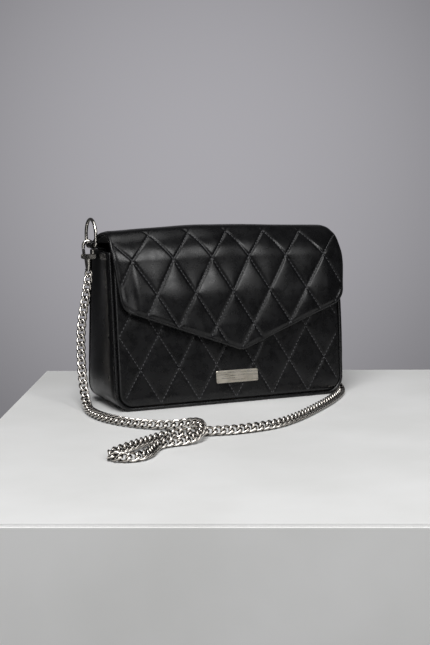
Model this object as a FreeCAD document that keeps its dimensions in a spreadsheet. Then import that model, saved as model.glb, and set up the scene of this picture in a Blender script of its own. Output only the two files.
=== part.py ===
import FreeCAD, Part
import Sketcher
import math
import os

V = FreeCAD.Vector
Placement = FreeCAD.Placement
Rotation = FreeCAD.Rotation

# Driving sizes in millimetres
SIZES = {
    # bag body
    "bag_width": 230.0,
    "base_depth": 84.0,
    "mouth_depth": 55.0,
    "side_height": 142.0,
    "corner_radius": 17.0,
    "gusset_thickness": 2.4,
    "panel_thickness": 4.0,
    "piping_diameter": 3.6,
    "seam_gap": 0.1,
    # lining and base board
    "lining_thickness": 0.8,
    "lining_face_gap": 1.8,
    "lining_drop": 4.0,
    "board_thickness": 1.6,
    "board_gap": 1.5,
    # flap
    "crest_rise": 18.0,
    "crest_radius": 27.0,
    "flap_side_gap": 4.5,
    "flap_offset": 1.7,
    "flap_point_offset": 6.5,
    "flap_thickness": 3.8,
    "flap_lining_thickness": 1.0,
    "flap_turn": 2.0,
    "flap_corner_height": 91.0,
    "flap_corner_radius": 9.0,
    "flap_point_height": 49.0,
    "flap_point_radius": 14.0,
    "fold_length": 10.0,
    "fold_radius": 1.2,
    "fold_gap": 0.6,
    "fold_overhang": 1.0,
    # magnetic snap
    "snap_height": 68.0,
    "socket_radius": 8.5,
    "socket_height": 3.6,
    "socket_bore_radius": 3.6,
    "socket_bore_depth": 2.2,
    "stud_radius": 8.0,
    "stud_flange": 1.6,
    "stud_post_radius": 1.8,
    "stud_post_length": 1.8,
    "snap_gap": 0.4,
    "rivet_radius": 1.8,
    "washer_radius": 7.0,
    "washer_thickness": 0.8,
    "hole_gap": 0.1,
    # bare metal plate
    "plate_width": 42.0,
    "plate_height": 11.5,
    "plate_thickness": 1.4,
    "plate_corner_radius": 1.6,
    "plate_edge_radius": 0.5,
    "plate_offset": 3.5,
    "plate_centre_height": 24.8,
    "prong_radius": 0.8,
    "prong_spacing": 28.0,
    "backing_width": 36.0,
    "backing_height": 8.0,
    "backing_thickness": 0.8,
    # rings and their tabs
    "ring_wire": 3.0,
    "ring_inner_width": 25.0,
    "ring_rise": 23.2,
    "ring_corner_radius": 3.0,
    "ring_reach": 7.0,
    "left_ring_lift": 5.5,
    "right_ring_drop": 6.0,
    "tab_width": 14.0,
    "tab_thickness": 1.4,
    "tab_depth": 16.0,
    "tab_gap": 0.2,
    "loop_gap": 0.2,
    # snap hooks
    "hook_wire": 3.0,
    "hook_radius": 4.6,
    "hook_hang_gap": 0.3,
    "hook_tip_drop": 2.3,
    "hook_neck": 7.3,
    "hook_base_height": 4.6,
    "hook_base_thickness": 6.0,
    "hook_base_corner": 1.5,
    "hook_barrel_height": 8.6,
    "hook_barrel_radius": 3.8,
    "hook_foot_radius": 2.7,
    "hook_offset": 9.0,
    "gate_thickness": 2.2,
    "gate_width": 2.2,
    "gate_eye_radius": 1.6,
    "gate_pin_radius": 0.75,
    "gate_pin_reach": 4.0,
    "gate_gap": 0.3,
    "pin_gap": 0.05,
    # swivel eyes
    "swivel_post_radius": 1.0,
    "swivel_head_radius": 1.6,
    "swivel_head_height": 1.0,
    "swivel_collar_radius": 3.2,
    "swivel_collar_height": 1.6,
    "swivel_gap": 0.15,
    "eye_radius": 3.0,
    "eye_wire": 2.0,
    # curb chain
    "link_wire": 1.9,
    "link_length": 11.3,
    "link_width": 8.7,
    "link_twist": 52.0,
    "link_slack": 0.5,
}

# Chain route between the two eyes, from left to right
ROUTE_FROM_LEFT_EYE = [
    (-124.2, 9.0, 98.0), (-128.2, 9.2, 76.0), (-130.6, 8.0, 52.0), (-131.6, 4.0, 27.0),
    (-133.5, -9.0, 8.0), (-137.5, -32.0, 2.9), (-139.0, -58.0, 2.9), (-133.0, -86.0, 3.2),
    (-118.5, -111.5, 3.6), (-102.0, -125.5, 3.9), (-89.0, -136.5, 6.4), (-82.8, -150.5, 10.2),
    (-84.4, -166.0, 10.2), (-92.5, -179.5, 6.2), (-105.5, -186.9, 4.0), (-118.8, -185.6, 3.8),
    (-130.9, -190.2, 3.8), (-138.8, -201.5, 3.6), (-143.2, -214.3, 3.4), (-146.3, -227.0, 3.6),
    (-157.2, -235.8, 3.7), (-171.1, -236.4, 3.7), (-182.8, -228.7, 3.6), (-187.7, -215.7, 3.3),
    (-184.0, -202.2, 3.4), (-173.1, -193.5, 3.6), (-160.3, -185.7, 3.7), (-146.4, -176.4, 3.6),
    (-131.3, -167.7, 3.7), (-114.0, -160.5, 3.7), (-98.7, -157.8, 3.7), (-84.1, -160.6, 3.7),
    (-69.6, -164.9, 3.7), (-53.4, -166.5, 3.7), (-36.0, -164.9, 3.8), (-14.8, -160.2, 3.8),
    (13.0, -142.5, 3.7), (43.0, -115.0, 3.7), (71.0, -88.0, 3.7), (94.0, -66.0, 3.7), (110.0, -50.5, 3.6),
    (119.5, -33.0, 3.2), (122.5, -12.0, 6.0), (123.6, -1.5, 26.0), (123.8, 1.0, 48.0), (122.8, 0.6, 67.5),
]

# Last route point of each named stretch of the chain
STRETCHES = {
    "chain_left_drop": (-133.5, -9.0, 8.0),
    "chain_front_run": (-89.0, -136.5, 6.4),
    "chain_hank": (-98.7, -157.8, 3.7),
    "chain_right_run": (119.5, -33.0, 3.2),
    "chain_right_riser": None,
}

# The links lean towards this direction, so they stand half on edge on a table
CHAIN_FACING = V(0.0, -0.5, 0.866)

doc = FreeCAD.newDocument("chain_shoulder_bag")
sheet = doc.addObject("Spreadsheet::Sheet", "Sizes")
for row, (alias, value) in enumerate(SIZES.items(), start=1):
    sheet.set(f"A{row}", alias)
    sheet.set(f"B{row}", str(value))
    sheet.setAlias(f"B{row}", alias)
doc.recompute()
size = {alias: float(sheet.get(alias)) for alias in SIZES}
nodes = {}

# Values worked out from the driving sizes
lean = math.atan2((size["base_depth"] - size["mouth_depth"]) / 2, size["side_height"])
lean_degrees = math.degrees(lean)
slope_height = size["side_height"] / math.cos(lean)
crest_height = size["side_height"] + size["crest_rise"]
flap_total = size["flap_thickness"] + size["flap_lining_thickness"]
flap_gap = size["socket_height"] + size["snap_gap"] + size["stud_flange"]
piping_radius = size["piping_diameter"] / 2
ring_radius = (size["ring_inner_width"] + size["ring_wire"]) / 2
wire_radius = size["ring_wire"] / 2
hook_half = size["hook_wire"] / 2
bow_centre = wire_radius + size["hook_hang_gap"] + hook_half - size["hook_radius"]
base_top = bow_centre - size["hook_neck"]
fork_bottom = base_top - size["hook_base_height"]
base_bottom = fork_bottom - size["hook_barrel_height"]
eye_centre = base_bottom - size["swivel_gap"] - size["swivel_collar_height"] - size["eye_radius"]
link_half = size["link_wire"] / 2
link_run = size["link_length"] - size["link_wire"]
link_pitch = link_run - size["link_wire"] - size["link_slack"]
lowest_eye_point = eye_centre - size["eye_radius"]
chain_start = lowest_eye_point + size["eye_wire"] / 2 + link_half + size["link_slack"]
chain_start = chain_start - (link_run - link_pitch) / 2


def corner_arc(before, corner, after, radius):
    # Start, middle and end of the arc that rounds a corner
    to_before = (before - corner).normalize()
    to_after = (after - corner).normalize()
    half = to_before.getAngle(to_after) / 2
    inward = (to_before + to_after).normalize()
    centre = corner + inward * (radius / math.sin(half))
    reach = radius / math.tan(half)
    return corner + to_before * reach, centre - inward * radius, corner + to_after * reach


def rounded(corners, closed=True):
    # Lines and arcs through corners given as (x, y, radius), or (x, y, z, radius)
    points = [V(*c[:-1]) for c in corners]
    count = len(points)
    stops = []
    for i, corner in enumerate(corners):
        if corner[-1] <= 0 or (not closed and i in (0, count - 1)):
            stops.append((points[i], None, points[i]))
        else:
            stops.append(corner_arc(points[i - 1], points[i], points[(i + 1) % count], corner[-1]))
    curves = []
    for i, (start, middle, end) in enumerate(stops):
        if middle is not None:
            curves.append(Part.ArcOfCircle(start, middle, end))
        following = stops[(i + 1) % count][0]
        if (closed or i < count - 1) and end.distanceToPoint(following) > 1e-6:
            curves.append(Part.LineSegment(end, following))
    return curves


def keep(label, obj):
    # Register a finished piece under its node name
    obj.Label = label
    nodes[label] = obj
    return obj


def drawing(name, curves, placement):
    # Free sketch in its own plane
    sketch = doc.addObject("Sketcher::SketchObject", name)
    sketch.Placement = placement
    sketch.addGeometry(curves, False)
    return sketch


ALONG_Y = Placement(V(), Rotation(V(1, 0, 0), 90))
ALONG_X = Placement(V(), Rotation(V(0, 1, 0), V(0, 0, 1), V(1, 0, 0), "XYZ"))


def extrusion(name, curves, placement, length):
    # Closed outline extruded both ways from its plane, length as an expression
    solid = doc.addObject("Part::Extrusion", name)
    solid.Base = drawing(name + "_outline", curves, placement)
    solid.DirMode = "Normal"
    solid.Solid = True
    solid.Symmetric = True
    solid.setExpression("LengthFwd", length)
    return solid


def boolean(kind, name, base, tool):
    result = doc.addObject(kind, name)
    result.Base = base
    result.Tool = tool
    return result


def fuse(name, shapes):
    result = doc.addObject("Part::MultiFuse", name)
    result.Shapes = shapes
    return result


def disc(name, frame, centre, radius, height):
    # Cylinder standing on a frame's plane, radius and height as expressions
    cylinder = doc.addObject("Part::Cylinder", name)
    cylinder.setExpression("Radius", radius)
    cylinder.setExpression("Height", height)
    cylinder.Placement = frame.multiply(Placement(V(*centre), Rotation()))
    return cylinder


def new_body(name, frame):
    body = doc.addObject("PartDesign::Body", name)
    body.Placement = frame
    return body


def sketch_on(body, role, name, curves, offset=0.0):
    sketch = body.newObject("Sketcher::SketchObject", name)
    plane = [item for item in body.Origin.OriginFeatures if item.Role == role][0]
    sketch.AttachmentSupport = [(plane, "")]
    sketch.MapMode = "FlatFace"
    sketch.AttachmentOffset = Placement(V(0, 0, offset), Rotation())
    sketch.addGeometry(curves, False)
    return sketch


def pad(body, sketch, length, reverse=False, both_ways=False):
    feature = body.newObject("PartDesign::Pad", sketch.Name + "_pad")
    feature.Profile = sketch
    feature.setExpression("Length", length)
    feature.Reversed = reverse
    if both_ways:
        feature.SideType = "Symmetric"
    return feature


def pocket(body, sketch, length, reverse=False, both_ways=False):
    feature = body.newObject("PartDesign::Pocket", sketch.Name + "_pocket")
    feature.Profile = sketch
    feature.setExpression("Length", length)
    feature.Reversed = reverse
    if both_ways:
        feature.SideType = "Symmetric"
    return feature


def circle_on(body, role, name, centre, radius, offset=0.0):
    # Sketched circle whose radius is an expression
    sketch = sketch_on(body, role, name, Part.Circle(V(*centre, 0), V(0, 0, 1), 1.0), offset)
    sketch.addConstraint(Sketcher.Constraint("Radius", 0, 1.0))
    sketch.setExpression("Constraints[0]", radius)
    return sketch


def circle(x, y, radius):
    return Part.Circle(V(x, y, 0), V(0, 0, 1), radius)


# Frames of the leaning front and back faces: X along the bag, Y up the face, Z outwards
front_frame = Placement(V(0, -size["base_depth"] / 2, 0), Rotation(V(1, 0, 0), 90 - lean_degrees))
back_turn = Rotation(V(0, 0, 1), 180).multiply(Rotation(V(1, 0, 0), 90 - lean_degrees))
back_frame = Placement(V(0, size["base_depth"] / 2, 0), back_turn)


def face_y(height, inset):
    # Distance of a leaning face from the middle plane, at a height
    return size["base_depth"] / 2 - height * math.tan(lean) - inset / math.cos(lean)


def bag_block(name, side_inset, floor_height, face_inset, top):
    # Block with the bag's rounded front outline and its tapering side outline
    half = size["bag_width"] / 2 - side_inset
    radius = size["corner_radius"] - side_inset
    front = rounded([(-half, floor_height, radius), (half, floor_height, radius),
                     (half, top, 0), (-half, top, 0)])
    low = face_y(floor_height, face_inset)
    high = face_y(top, face_inset)
    side = rounded([(-low, floor_height, 0), (low, floor_height, 0), (high, top, 0), (-high, top, 0)])
    across = extrusion(name + "_front", front, ALONG_Y, "2 * Sizes.base_depth")
    along = extrusion(name + "_side", side, ALONG_X, "2 * Sizes.bag_width")
    return boolean("Part::Common", name, across, along)


# Gusset: one strip that makes both sides and the bottom
above_top = size["side_height"] + 2 * size["lining_drop"]
gusset_outside = bag_block("gusset_outside", 0, 0, size["panel_thickness"], size["side_height"])
gusset_inside = bag_block("gusset_inside", size["gusset_thickness"], size["gusset_thickness"],
                          size["panel_thickness"] / 2, above_top)
keep("gusset", boolean("Part::Cut", "gusset", gusset_outside, gusset_inside))

# Lining: an open bag inside, standing on the base board
lining_side = size["gusset_thickness"] + 2 * size["tab_thickness"] + 2 * size["tab_gap"]
lining_floor = size["gusset_thickness"] + size["board_thickness"]
lining_face = size["panel_thickness"] + size["lining_face_gap"]
lining_skin = size["lining_thickness"]
lining_outside = bag_block("lining_outside", lining_side, lining_floor, lining_face,
                           size["side_height"] - size["lining_drop"])
lining_inside = bag_block("lining_inside", lining_side + lining_skin, lining_floor + lining_skin,
                          lining_face + lining_skin, above_top)
keep("lining", boolean("Part::Cut", "lining", lining_outside, lining_inside))

# Base board between the gusset's floor and the lining
board = keep("base_board", doc.addObject("Part::Box", "base_board"))
board.setExpression("Length", "Sizes.bag_width - 2 * Sizes.corner_radius")
board.setExpression("Width", "Sizes.base_depth - 2 * Sizes.panel_thickness - 2 * Sizes.board_gap")
board.setExpression("Height", "Sizes.board_thickness")
board.setExpression("Placement.Base.x", "-Length / 2")
board.setExpression("Placement.Base.y", "-Width / 2")
board.setExpression("Placement.Base.z", "Sizes.gusset_thickness")

# Front and back panels with their piping
piping_depth = size["panel_thickness"] - piping_radius
piping_rise = (piping_radius + piping_depth * math.sin(lean)) / math.cos(lean)
panel_inset = size["piping_diameter"] + size["seam_gap"]
panel_half = size["bag_width"] / 2 - panel_inset
panel_bottom = piping_rise + piping_radius + size["seam_gap"]
panel_round = size["corner_radius"] - panel_inset
snap_x = size["flap_point_offset"]
snap_v = size["snap_height"] / math.cos(lean)
plate_v = size["plate_centre_height"] / math.cos(lean)
prong_x = size["prong_spacing"] / 2
prong_hole = size["prong_radius"] + size["hole_gap"]
rivet_hole = size["rivet_radius"] + size["hole_gap"]


def panel(label, frame, holes):
    body = keep(label, new_body(label, frame))
    outline = rounded([(-panel_half, panel_bottom, panel_round), (panel_half, panel_bottom, panel_round),
                       (panel_half, slope_height, 0), (-panel_half, slope_height, 0)])
    pad(body, sketch_on(body, "XY_Plane", label + "_outline", outline + holes),
        "Sizes.panel_thickness", reverse=True)


def piping(label, frame):
    half = size["bag_width"] / 2 - piping_radius
    radius = size["corner_radius"] - piping_radius
    path = rounded([(-half, slope_height, 0), (-half, piping_rise, radius),
                    (half, piping_rise, radius), (half, slope_height, 0)], closed=False)
    seam = frame.multiply(Placement(V(0, 0, -piping_depth), Rotation()))
    spine = drawing(label + "_path", path, seam)
    section = doc.addObject("Part::Circle", label + "_section")
    section.setExpression("Radius", "Sizes.piping_diameter / 2")
    section.Placement = seam.multiply(Placement(V(-half, slope_height, 0), Rotation(V(1, 0, 0), 90)))
    tube = keep(label, doc.addObject("Part::Sweep", label))
    tube.Sections = [section]
    tube.Spine = (spine, [f"Edge{i + 1}" for i in range(len(path))])
    tube.Solid = True


panel("front_panel", front_frame, [circle(snap_x, snap_v, rivet_hole),
                                   circle(size["plate_offset"] - prong_x, plate_v, prong_hole),
                                   circle(size["plate_offset"] + prong_x, plate_v, prong_hole)])
panel("back_panel", back_frame, [])
piping("front_piping", front_frame)
piping("back_piping", back_frame)

# Magnetic snap: socket and washer on the front panel
behind_panel = -size["panel_thickness"] - size["washer_thickness"]
socket_top = size["socket_height"] - size["socket_bore_depth"]
socket_solid = fuse("socket_solid", [
    disc("socket_disc", front_frame, (snap_x, snap_v, 0), "Sizes.socket_radius", "Sizes.socket_height"),
    disc("socket_rivet", front_frame, (snap_x, snap_v, behind_panel), "Sizes.rivet_radius",
         "Sizes.panel_thickness + Sizes.washer_thickness + Sizes.socket_height / 4"),
])
socket_bore = disc("socket_bore", front_frame, (snap_x, snap_v, socket_top), "Sizes.socket_bore_radius",
                   "2 * Sizes.socket_bore_depth")
keep("snap_socket", boolean("Part::Cut", "snap_socket", socket_solid, socket_bore))


def washer(label, height):
    outer = disc(label + "_disc", front_frame, (snap_x, snap_v, height), "Sizes.washer_radius",
                 "Sizes.washer_thickness")
    hole = disc(label + "_hole", front_frame, (snap_x, snap_v, height - size["washer_thickness"]),
                "Sizes.rivet_radius + Sizes.hole_gap", "3 * Sizes.washer_thickness")
    keep(label, boolean("Part::Cut", label, outer, hole))


washer("snap_socket_washer", behind_panel)

# Stud and washer on the flap, facing the socket
washer("snap_stud_washer", flap_gap + size["flap_lining_thickness"])
stud_face = flap_gap - size["stud_flange"]
keep("snap_stud", fuse("snap_stud", [
    disc("stud_disc", front_frame, (snap_x, snap_v, stud_face), "Sizes.stud_radius", "Sizes.stud_flange"),
    disc("stud_post", front_frame, (snap_x, snap_v, stud_face - size["stud_post_length"]),
         "Sizes.stud_post_radius", "Sizes.stud_post_length + Sizes.stud_flange / 2"),
    disc("stud_rivet", front_frame, (snap_x, snap_v, stud_face + size["stud_flange"] / 2),
         "Sizes.rivet_radius",
         "Sizes.stud_flange / 2 + Sizes.flap_lining_thickness + Sizes.washer_thickness"),
]))

# Bare metal plate, its prongs and the backing behind the panel
plate_frame = front_frame.multiply(Placement(V(size["plate_offset"], 0, 0), Rotation()))
plate = keep("name_plate", new_body("name_plate", plate_frame))
plate_x = size["plate_width"] / 2
plate_low = plate_v - size["plate_height"] / 2
plate_high = plate_v + size["plate_height"] / 2
plate_round = size["plate_corner_radius"]
pad(plate, sketch_on(plate, "XY_Plane", "plate_outline", rounded([
    (-plate_x, plate_low, plate_round), (plate_x, plate_low, plate_round),
    (plate_x, plate_high, plate_round), (-plate_x, plate_high, plate_round)])), "Sizes.plate_thickness")
prongs = [circle(-prong_x, plate_v, size["prong_radius"]), circle(prong_x, plate_v, size["prong_radius"])]
pad(plate, sketch_on(plate, "XY_Plane", "plate_prongs", prongs),
    "Sizes.panel_thickness + Sizes.backing_thickness", reverse=True)
doc.recompute()
sharp_plate = plate.Tip
face_edges = [f"Edge{i + 1}" for i, edge in enumerate(sharp_plate.Shape.Edges)
              if abs(edge.BoundBox.ZMin - size["plate_thickness"]) < 1e-6]
plate_edge = plate.newObject("PartDesign::Fillet", "plate_edge")
plate_edge.Base = (sharp_plate, face_edges)
plate_edge.setExpression("Radius", "Sizes.plate_edge_radius")
backing = keep("plate_backing", new_body("plate_backing", plate_frame))
backing_x = size["backing_width"] / 2
backing_y = size["backing_height"] / 2
backing_low = plate_v - backing_y
backing_high = plate_v + backing_y
backing_outline = rounded([
    (-backing_x, backing_low, plate_round), (backing_x, backing_low, plate_round),
    (backing_x, backing_high, plate_round), (-backing_x, backing_high, plate_round)])
backing_holes = [circle(-prong_x, plate_v, prong_hole), circle(prong_x, plate_v, prong_hole)]
pad(backing, sketch_on(backing, "XY_Plane", "backing_outline", backing_outline + backing_holes,
                       -size["panel_thickness"]), "Sizes.backing_thickness", reverse=True)

# Flap: a band that folds at the back's top edge, arches over the mouth and hangs down the front
flap_up = V(math.sin(lean), math.cos(lean), 0)
flap_out = V(-math.cos(lean), math.sin(lean), 0)
upward = V(0, 1, 0)
front_foot = V(-size["base_depth"] / 2, 0, 0)
front_offset = flap_gap + flap_total / 2
crest_middle = crest_height - flap_total / 2
front_bend = size["crest_radius"]
crest_y = -size["base_depth"] / 2 + (math.sin(lean) * (crest_middle - front_bend)
                                     - front_offset + front_bend) / math.cos(lean)
fold_axis = V(size["mouth_depth"] / 2 + size["fold_overhang"],
              size["side_height"] + size["fold_radius"] + size["fold_gap"], 0)
fold_drop = crest_middle - fold_axis.y
back_bend = ((fold_axis.x - crest_y) ** 2 + fold_drop ** 2) / (2 * fold_drop)
front_centre = V(crest_y, crest_middle - front_bend, 0)
back_centre = V(crest_y, crest_middle - back_bend, 0)
fold_ray = (fold_axis - back_centre).normalize()
fold_turn = Rotation(V(0, 0, 1), math.degrees(size["fold_length"] / back_bend))
tongue_ray = fold_turn.multVec(fold_ray)


def between(first, second):
    return (first + second).normalize()


def band_line(offset, last_ray, height):
    # Line and two arcs at one distance from the flap's middle surface, from low in front to the back
    low = front_foot + flap_out * (front_offset + offset) + flap_up * height
    bend = front_centre + flap_out * (front_bend + offset)
    crest = V(crest_y, crest_middle + offset, 0)
    crest_half = front_centre + between(flap_out, upward) * (front_bend + offset)
    rear_half = back_centre + between(upward, last_ray) * (back_bend + offset)
    rear = back_centre + last_ray * (back_bend + offset)
    curves = [Part.LineSegment(low, bend), Part.ArcOfCircle(bend, crest_half, crest),
              Part.ArcOfCircle(crest, rear_half, rear)]
    return curves, low, rear


def flap_outline(inset):
    # Envelope point seen from the front, as wide as the flap
    half = size["bag_width"] / 2 - size["flap_side_gap"] - inset
    top = crest_height + flap_total
    corner = size["flap_corner_height"] + inset
    point = size["flap_point_height"] + inset
    left = size["flap_offset"] - half
    right = size["flap_offset"] + half
    return rounded([(left, top, 0), (left, corner, size["flap_corner_radius"]),
                    (size["flap_point_offset"], point, size["flap_point_radius"]),
                    (right, corner, size["flap_corner_radius"]), (right, top, 0)])


below_point = size["flap_point_height"] / 2
skin_low = -flap_total / 2 + size["flap_lining_thickness"]
fold = size["fold_radius"]
outer_curves, outer_low, outer_rear = band_line(flap_total / 2, tongue_ray, below_point)
inner_curves, inner_low, inner_rear = band_line(skin_low, tongue_ray, below_point)


def rear_point(ray, offset):
    return back_centre + ray * (back_bend + offset)


tongue_half = between(tongue_ray, fold_ray)
fold_end = V(fold_ray.y, -fold_ray.x, 0)
tongue = [
    Part.LineSegment(outer_rear, rear_point(tongue_ray, fold)),
    Part.ArcOfCircle(rear_point(tongue_ray, fold), rear_point(tongue_half, fold), rear_point(fold_ray, fold)),
    Part.ArcOfCircle(rear_point(fold_ray, fold), fold_axis + fold_end * fold, rear_point(fold_ray, -fold)),
    Part.ArcOfCircle(rear_point(fold_ray, -fold), rear_point(tongue_half, -fold),
                     rear_point(tongue_ray, -fold)),
    Part.LineSegment(rear_point(tongue_ray, -fold), inner_rear),
]
flap_band = outer_curves + tongue + inner_curves + [Part.LineSegment(inner_low, outer_low)]
flap_shape = boolean("Part::Common", "flap_shape",
                     extrusion("flap_band", flap_band, ALONG_X, "2 * Sizes.bag_width"),
                     extrusion("flap_front", flap_outline(0), ALONG_Y, "3 * Sizes.base_depth"))
washer_seat = disc("washer_seat", front_frame, (snap_x, snap_v, flap_gap),
                   "Sizes.washer_radius + Sizes.hole_gap",
                   "Sizes.flap_lining_thickness + Sizes.washer_thickness + Sizes.hole_gap")
keep("flap_outer", boolean("Part::Cut", "flap_outer", flap_shape, washer_seat))
low_curves, low_low, low_rear = band_line(-flap_total / 2, tongue_ray, below_point)
lining_band = (low_curves + inner_curves + [Part.LineSegment(low_rear, inner_rear),
                                            Part.LineSegment(inner_low, low_low)])
flap_lining_shape = boolean("Part::Common", "flap_lining_shape",
                            extrusion("lining_band", lining_band, ALONG_X, "2 * Sizes.bag_width"),
                            extrusion("lining_front", flap_outline(size["flap_turn"]), ALONG_Y,
                                      "3 * Sizes.base_depth"))
stud_hole = disc("stud_hole", front_frame, (snap_x, snap_v, flap_gap / 2),
                 "Sizes.rivet_radius + Sizes.hole_gap", "3 * Sizes.socket_height")
keep("flap_lining", boolean("Part::Cut", "flap_lining", flap_lining_shape, stud_hole))

# Frames at the ring bars: X away from the bag, Z up
bar_x = size["bag_width"] / 2 + size["ring_reach"]
left_bar = V(-bar_x, 0, size["side_height"] + size["left_ring_lift"])
right_bar = V(bar_x, 0, size["side_height"] - size["right_ring_drop"])
left_frame = Placement(left_bar, Rotation(V(0, 0, 1), 180))
right_frame = Placement(right_bar, Rotation())
strap = 2 * size["tab_thickness"]
leg_out = -size["ring_reach"] - size["gusset_thickness"] - size["tab_gap"]
leg_in = leg_out - strap


def standing_neck(low):
    # The strap rises from the gusset's edge to the ring's bar
    high = low + strap
    return [(leg_out, low, 0), (-strap, low, 0), (0, -strap / 2, 0), (0, strap / 2, 0),
            (-strap, high + strap / 2, strap), (leg_in, high, strap)]


def hanging_neck(low):
    # The strap turns over the gusset's edge and hangs down to the ring's bar
    high = low + strap
    bend = low / 2
    return [(leg_out, low, 0), (-strap / 2, low, bend), (-strap / 2, 0, 0), (strap / 2, 0, 0),
            (strap / 2, high, bend + strap), (leg_in, high, strap)]


def ring_tab(label, frame, neck):
    # Folded strap: a loop round the ring's bar, a neck over the gusset's edge and a sewn leg inside
    body = keep(label, new_body(label, frame))
    edge = size["side_height"] - frame.Base.z
    leg_low = edge - size["tab_depth"]
    corners = [(leg_out, leg_low, 0)] + neck(edge + size["tab_gap"]) + [(leg_in, leg_low, 0)]
    outline = rounded(corners)
    pad(body, sketch_on(body, "XZ_Plane", label + "_strap", outline), "Sizes.tab_width", both_ways=True)
    loop = "Sizes.ring_wire / 2 + Sizes.loop_gap"
    outside = circle_on(body, "XZ_Plane", label + "_loop", (0, 0), loop + " + Sizes.tab_thickness")
    pad(body, outside, "Sizes.tab_width", both_ways=True)
    bore = circle_on(body, "XZ_Plane", label + "_bore", (0, 0), loop)
    pocket(body, bore, "2 * Sizes.tab_width", both_ways=True)


def ring(label, frame):
    # Tall D ring: a straight bar, two legs and a round top
    corner = size["ring_corner_radius"]
    path = rounded([(-ring_radius, 0, corner), (ring_radius, 0, corner),
                    (ring_radius, size["ring_rise"], ring_radius),
                    (-ring_radius, size["ring_rise"], ring_radius)])
    plane = frame.multiply(ALONG_X)
    spine = drawing(label + "_path", path, plane)
    start = path[0].StartPoint
    section = doc.addObject("Part::Circle", label + "_section")
    section.setExpression("Radius", "Sizes.ring_wire / 2")
    section.Placement = plane.multiply(Placement(start, Rotation(V(1, 0, 0), 90)))
    sweep = keep(label, doc.addObject("Part::Sweep", label))
    sweep.Sections = [section]
    sweep.Spine = (spine, [f"Edge{i + 1}" for i in range(len(path))])
    sweep.Solid = True


pin_height = base_top - size["gate_eye_radius"]
tip_height = bow_centre - size["hook_tip_drop"]


def hook(label, frame):
    # Bow of round wire on a forked base that holds the gate's pin, over a tapered barrel for the swivel
    body = keep(label, new_body(label, frame))
    reach = size["hook_radius"]
    middle = (base_top + fork_bottom) / 2
    path = [Part.LineSegment(V(-reach, middle, 0), V(-reach, bow_centre, 0)),
            Part.ArcOfCircle(V(-reach, bow_centre, 0), V(0, bow_centre + reach, 0), V(reach, bow_centre, 0)),
            Part.LineSegment(V(reach, bow_centre, 0), V(reach, tip_height, 0))]
    spine = sketch_on(body, "XZ_Plane", label + "_path", path)
    section = circle_on(body, "XY_Plane", label + "_wire", (-reach, 0), "Sizes.hook_wire / 2", middle)
    bow = body.newObject("PartDesign::AdditivePipe", label + "_bow")
    bow.Profile = section
    bow.Spine = (spine, [f"Edge{i + 1}" for i in range(len(path))])
    side = reach + hook_half
    corner = size["hook_base_corner"]
    base = rounded([(-side, fork_bottom, corner), (side, fork_bottom, corner), (side, base_top, corner),
                    (-side, base_top, 0)])
    pad(body, sketch_on(body, "XZ_Plane", label + "_base", base), "Sizes.hook_base_thickness", both_ways=True)
    barrel = body.newObject("PartDesign::AdditiveCone", label + "_barrel")
    barrel.setExpression("Radius1", "Sizes.hook_foot_radius")
    barrel.setExpression("Radius2", "Sizes.hook_barrel_radius")
    barrel.setExpression("Height", "Sizes.hook_barrel_height")
    barrel.Placement = Placement(V(0, 0, base_bottom), Rotation())
    slot_in = size["gate_pin_reach"] - size["gate_eye_radius"] - size["gate_gap"]
    slot_low = pin_height - size["gate_eye_radius"] - size["gate_gap"]
    slot = rounded([(slot_in, slot_low, 0), (2 * side, slot_low, 0), (2 * side, base_top + corner, 0),
                    (slot_in, base_top + corner, 0)])
    pocket(body, sketch_on(body, "XZ_Plane", label + "_slot", slot), "Sizes.gate_thickness + Sizes.gate_gap",
           both_ways=True)
    pin_hole = circle_on(body, "XZ_Plane", label + "_pin_hole", (size["gate_pin_reach"], pin_height),
                         "Sizes.gate_pin_radius")
    pocket(body, pin_hole, "2 * Sizes.hook_base_thickness", both_ways=True)
    bore = circle_on(body, "XY_Plane", label + "_bore", (0, 0),
                     "Sizes.swivel_post_radius + Sizes.swivel_gap / 2", base_top)
    pocket(body, bore, "2 * (Sizes.hook_base_height + Sizes.hook_barrel_height)")
    seat = circle_on(body, "XY_Plane", label + "_seat", (0, 0), "Sizes.swivel_head_radius + Sizes.swivel_gap",
                     base_top)
    pocket(body, seat, "Sizes.swivel_head_height + Sizes.swivel_gap")


def gate(label, frame):
    # Lever from the pin up to the bow's tip
    body = keep(label, new_body(label, frame))
    pin_x = size["gate_pin_reach"]
    half = size["gate_width"] / 2
    top = tip_height - size["gate_gap"]
    tip_x = size["hook_radius"]
    lever = rounded([(pin_x - half, pin_height, 0), (pin_x + half, pin_height, 0),
                     (tip_x + half, top, half / 2), (tip_x - half, top, half / 2)])
    pad(body, sketch_on(body, "XZ_Plane", label + "_lever", lever), "Sizes.gate_thickness", both_ways=True)
    eye = circle_on(body, "XZ_Plane", label + "_eye", (pin_x, pin_height), "Sizes.gate_eye_radius")
    pad(body, eye, "Sizes.gate_thickness", both_ways=True)
    bore = circle_on(body, "XZ_Plane", label + "_bore", (pin_x, pin_height),
                     "Sizes.gate_pin_radius + Sizes.pin_gap")
    pocket(body, bore, "2 * Sizes.gate_thickness", both_ways=True)


def gate_pin(label, frame):
    pin = keep(label, doc.addObject("Part::Cylinder", label))
    pin.setExpression("Radius", "Sizes.gate_pin_radius")
    pin.setExpression("Height", "Sizes.hook_base_thickness")
    start = V(size["gate_pin_reach"], size["hook_base_thickness"] / 2, pin_height)
    pin.Placement = frame.multiply(Placement(start, Rotation(V(1, 0, 0), 90)))


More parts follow.
